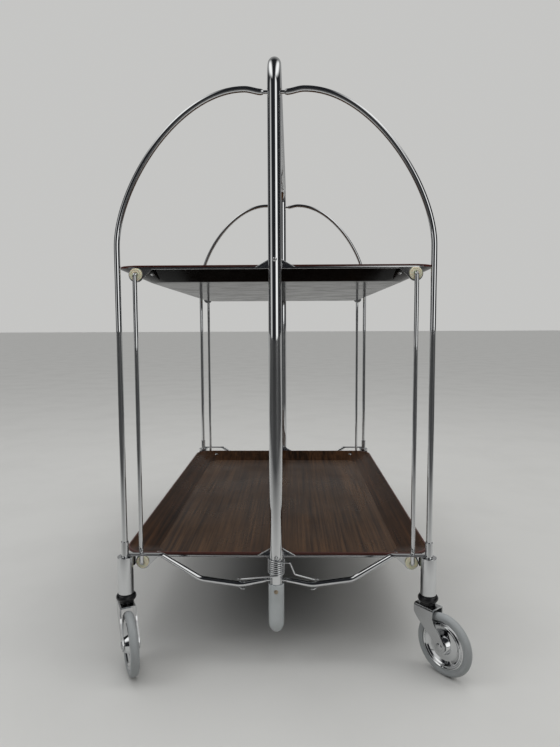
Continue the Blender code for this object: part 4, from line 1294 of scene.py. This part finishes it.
def add_lamp(name, place, aim, size, power, colour=(1, 1, 1)):
    """A soft square lamp at a place, aimed at a point. Mirrors don't show it."""
    lamp = bpy.data.objects.new(name, bpy.data.lights.new(name, "AREA"))
    lamp.data.size = size
    lamp.data.energy = power
    lamp.data.color = colour
    lamp.location = place
    lamp.visible_glossy = False
    lamp.rotation_euler = (Vector(aim) - lamp.location).to_track_quat("-Z", "Y").to_euler()
    bpy.context.scene.collection.objects.link(lamp)


def add_floor():
    """A plain pale floor with a faint mottle. In mirrors it darkens far from the trolley, on the
    camera's side: painted shade that only reflections show."""
    size = FLOOR_SIZE
    mesh = bpy.data.meshes.new("floor")
    mesh.from_pydata([(-size, -size, 0), (size, -size, 0), (size, size, 0), (-size, size, 0)], [],
                     [(0, 1, 2, 3)])
    floor = bpy.data.objects.new("floor", mesh)
    bpy.context.scene.collection.objects.link(floor)
    finish = Finish("floor_paint")
    node = finish.smudged(bpy.data.node_groups["Smudges"], scale=5.0, rough=(0.55, 0.70))
    colour = tuple(bpy.context.scene.trolley_colours.floor)
    pale = finish.mixed(node.outputs["Mask"], colour, tinted(colour, share=0.95))
    distance = finish.tree.nodes.new("ShaderNodeVectorMath")
    distance.operation = "DISTANCE"
    distance.inputs[1].default_value = FLOOR_MIDDLE
    finish.link(finish.coords, distance, 0)
    far = ranged(finish.tree, distance.outputs["Value"], FLOOR_FAR)
    far.inputs["To Max"].default_value = FLOOR_REFLECTED_SHADE_SHARE
    axes = finish.tree.nodes.new("ShaderNodeSeparateXYZ")
    finish.link(finish.coords, axes, "Vector")
    before = ranged(finish.tree, axes.outputs["Y"], FLOOR_BEFORE)
    # Mask of the painted shade that mirrors see on the floor
    front = maths(finish.tree, "MULTIPLY", far.outputs["Result"], before.outputs["Result"])
    mirrors = finish.tree.nodes.new("ShaderNodeLightPath").outputs["Is Glossy Ray"]
    colour = finish.mixed(maths(finish.tree, "MULTIPLY", front, mirrors), pale, FLOOR_REFLECTED_SHADE)
    finish.link(colour, finish.shader, "Base Color")
    finish.set(Specular_IOR_Level=0.2)
    mesh.materials.append(finish.material)


def add_world():
    """A pale surround for the camera, and white light that grows towards the zenith. Mirrors see a
    dark room with a dim far wall, a bright panel to the right, a dimmer one to the left and two
    overhead, so that tubes show dark and bright stripes."""
    world = bpy.data.worlds.new("surround")
    bpy.context.scene.world = world
    world.use_nodes = True
    tree = world.node_tree
    tree.nodes.clear()

    def times(first, second):
        """Product of two masks or numbers."""
        return maths(tree, "MULTIPLY", first, second)

    def smooth(value, limits):
        """Mask that fades in smoothly between two limits."""
        made = ranged(tree, value, limits)
        made.interpolation_type = "SMOOTHSTEP"
        return made.outputs["Result"]

    def either(factor, first, second):
        """The first light at factor 0 and the second at factor 1."""
        made = tree.nodes.new("ShaderNodeMixShader")
        for socket, source in zip(made.inputs, (factor, first, second)):
            tree.links.new(source, socket)
        return made.outputs[0]

    axes = tree.nodes.new("ShaderNodeSeparateXYZ")
    tree.links.new(tree.nodes.new("ShaderNodeTexCoord").outputs["Generated"], axes.inputs[0])
    x, y, z = axes.outputs
    behind = times(y, -1.0)
    wall = times(smooth(y, WALL_EDGE), WALL_LIGHT)
    right = times(smooth(x, RIGHT_PANEL_X), smooth(behind, RIGHT_PANEL_Y))
    left = times(times(smooth(times(x, -1.0), LEFT_PANEL_X), smooth(behind, LEFT_PANEL_Y)), LEFT_PANEL_LIGHT)
    above = times(smooth(z, TOP_PANELS_Z), smooth(maths(tree, "ABSOLUTE", x), TOP_PANELS_X))
    sides = maths(tree, "MAXIMUM", wall, right)
    lit = maths(tree, "MAXIMUM", sides, maths(tree, "MAXIMUM", above, left))
    mirror = tree.nodes.new("ShaderNodeMix")
    mirror.data_type = "RGBA"
    mirror.inputs["A"].default_value = MIRROR_DARK
    mirror.inputs["B"].default_value = MIRROR_BRIGHT
    tree.links.new(lit, mirror.inputs["Factor"])

    path = tree.nodes.new("ShaderNodeLightPath").outputs
    pale = new_node(tree, "ShaderNodeBackground", Color=SURROUND, Strength=1.0)
    light = new_node(tree, "ShaderNodeBackground", Color=(1, 1, 1, 1))
    sky = maths(tree, "ADD", times(smooth(z, SKY_EDGE), 1 - SKY_LEAST), SKY_LEAST)
    tree.links.new(sky, light.inputs["Strength"])
    shiny = new_node(tree, "ShaderNodeBackground", Strength=1.0)
    tree.links.new(mirror.outputs["Result"], shiny.inputs["Color"])
    inner = either(path["Is Glossy Ray"], light.outputs[0], shiny.outputs[0])
    seen = maths(tree, "MAXIMUM", path["Is Camera Ray"], path["Is Transmission Ray"])
    out = tree.nodes.new("ShaderNodeOutputWorld")
    tree.links.new(either(seen, inner, pale.outputs[0]), out.inputs["Surface"])


def add_stage():
    """Camera, floor, surround and lamps."""
    add_camera()
    add_floor()
    add_world()
    for lamp in LAMPS:
        add_lamp(*lamp)
    bpy.context.scene.view_settings.view_transform = "Standard"


# Operators

class TROLLEY_OT_centre_frame(bpy.types.Operator):
    """Add the frame's tube with its hinge slots"""

    bl_idname = "trolley.centre_frame"
    bl_label = "Centre Frame"
    bl_options = {"REGISTER", "UNDO"}

    def execute(self, context):
        add_centre_frame()
        return {"FINISHED"}


class TROLLEY_OT_end_caps(bpy.types.Operator):
    """Add the bullet caps and their screws"""

    bl_idname = "trolley.end_caps"
    bl_label = "End Caps"
    bl_options = {"REGISTER", "UNDO"}

    def execute(self, context):
        add_end_caps()
        return {"FINISHED"}


class TROLLEY_OT_hinge_cores(bpy.types.Operator):
    """Give the hinge cores their finish"""

    bl_idname = "trolley.hinge_cores"
    bl_label = "Hinge Cores"
    bl_options = {"REGISTER", "UNDO"}

    def execute(self, context):
        add_hinge_cores()
        return {"FINISHED"}


class TROLLEY_OT_tray_pivots(bpy.types.Operator):
    """Add the pins and spacers that the trays turn on"""

    bl_idname = "trolley.tray_pivots"
    bl_label = "Tray Pivots"
    bl_options = {"REGISTER", "UNDO"}

    def execute(self, context):
        add_tray_pivots()
        return {"FINISHED"}


class TROLLEY_OT_springs(bpy.types.Operator):
    """Add the springs round the bars"""

    bl_idname = "trolley.springs"
    bl_label = "Torsion Springs"
    bl_options = {"REGISTER", "UNDO"}

    def execute(self, context):
        add_springs()
        return {"FINISHED"}


class TROLLEY_OT_leg_frames(bpy.types.Operator):
    """Add the arched legs and the foot bars"""

    bl_idname = "trolley.leg_frames"
    bl_label = "Leg Frames"
    bl_options = {"REGISTER", "UNDO"}

    def execute(self, context):
        add_leg_frames()
        return {"FINISHED"}


class TROLLEY_OT_sockets(bpy.types.Operator):
    """Add the sockets and the bumper rings"""

    bl_idname = "trolley.sockets"
    bl_label = "Caster Sockets"
    bl_options = {"REGISTER", "UNDO"}

    def execute(self, context):
        add_sockets()
        return {"FINISHED"}


class TROLLEY_OT_forks(bpy.types.Operator):
    """Add the casters' forks"""

    bl_idname = "trolley.forks"
    bl_label = "Forks"
    bl_options = {"REGISTER", "UNDO"}

    def execute(self, context):
        add_forks()
        return {"FINISHED"}


class TROLLEY_OT_wheels(bpy.types.Operator):
    """Add the wheel discs and tyres"""

    bl_idname = "trolley.wheels"
    bl_label = "Wheels"
    bl_options = {"REGISTER", "UNDO"}

    def execute(self, context):
        add_wheels()
        return {"FINISHED"}


class TROLLEY_OT_trays(bpy.types.Operator):
    """Add the dished trays"""

    bl_idname = "trolley.trays"
    bl_label = "Trays"
    bl_options = {"REGISTER", "UNDO"}

    def execute(self, context):
        add_trays()
        return {"FINISHED"}


class TROLLEY_OT_rails(bpy.types.Operator):
    """Add the trays' end rails"""

    bl_idname = "trolley.rails"
    bl_label = "End Rails"
    bl_options = {"REGISTER", "UNDO"}

    def execute(self, context):
        add_rails()
        return {"FINISHED"}


class TROLLEY_OT_bushes(bpy.types.Operator):
    """Add the bushes of the link rods"""

    bl_idname = "trolley.bushes"
    bl_label = "Bushes"
    bl_options = {"REGISTER", "UNDO"}

    def execute(self, context):
        add_bushes()
        return {"FINISHED"}


class TROLLEY_OT_link_rods(bpy.types.Operator):
    """Add the rods between the trays"""

    bl_idname = "trolley.link_rods"
    bl_label = "Link Rods"
    bl_options = {"REGISTER", "UNDO"}

    def execute(self, context):
        add_link_rods()
        return {"FINISHED"}


class TROLLEY_OT_catches(bpy.types.Operator):
    """Add the pads at the lower tray's corners"""

    bl_idname = "trolley.catches"
    bl_label = "Corner Catches"
    bl_options = {"REGISTER", "UNDO"}

    def execute(self, context):
        add_catches()
        return {"FINISHED"}


class TROLLEY_OT_stage(bpy.types.Operator):
    """Add the floor, the surround, the lamps and the camera"""

    bl_idname = "trolley.stage"
    bl_label = "Stage"
    bl_options = {"REGISTER", "UNDO"}

    def execute(self, context):
        add_stage()
        return {"FINISHED"}


STEPS = (
    TROLLEY_OT_centre_frame,
    TROLLEY_OT_end_caps,
    TROLLEY_OT_hinge_cores,
    TROLLEY_OT_tray_pivots,
    TROLLEY_OT_springs,
    TROLLEY_OT_leg_frames,
    TROLLEY_OT_sockets,
    TROLLEY_OT_forks,
    TROLLEY_OT_wheels,
    TROLLEY_OT_trays,
    TROLLEY_OT_rails,
    TROLLEY_OT_bushes,
    TROLLEY_OT_link_rods,
    TROLLEY_OT_catches,
    TROLLEY_OT_stage,
)


class TROLLEY_PT_panel(bpy.types.Panel):
    """Sizes, colours and steps that build the trolley"""

    bl_label = "Serving Trolley"
    bl_idname = "TROLLEY_PT_panel"
    bl_space_type = "VIEW_3D"
    bl_region_type = "UI"
    bl_category = "Trolley"

    def draw(self, context):
        for group in (context.scene.trolley_sizes, context.scene.trolley_colours):
            for prop in group.bl_rna.properties:
                if prop.identifier not in {"rna_type", "name"}:
                    self.layout.prop(group, prop.identifier)
        for step in STEPS:
            self.layout.operator(step.bl_idname)


CLASSES = (TrolleySizes, TrolleyColours, *STEPS, TROLLEY_PT_panel)


def register():
    """Register the classes and hang the sizes and colours on the scene."""
    for item in CLASSES:
        bpy.utils.register_class(item)
    bpy.types.Scene.trolley_sizes = bpy.props.PointerProperty(type=TrolleySizes)
    bpy.types.Scene.trolley_colours = bpy.props.PointerProperty(type=TrolleyColours)


def unregister():
    """Take away what register added."""
    del bpy.types.Scene.trolley_colours
    del bpy.types.Scene.trolley_sizes
    for item in reversed(CLASSES):
        bpy.utils.unregister_class(item)


def main():
    """Build every piece and the stage."""
    register()
    for step in STEPS:
        name = step.bl_idname.removeprefix("trolley.")
        getattr(bpy.ops.trolley, name)()


if __name__ == "__main__":
    main()
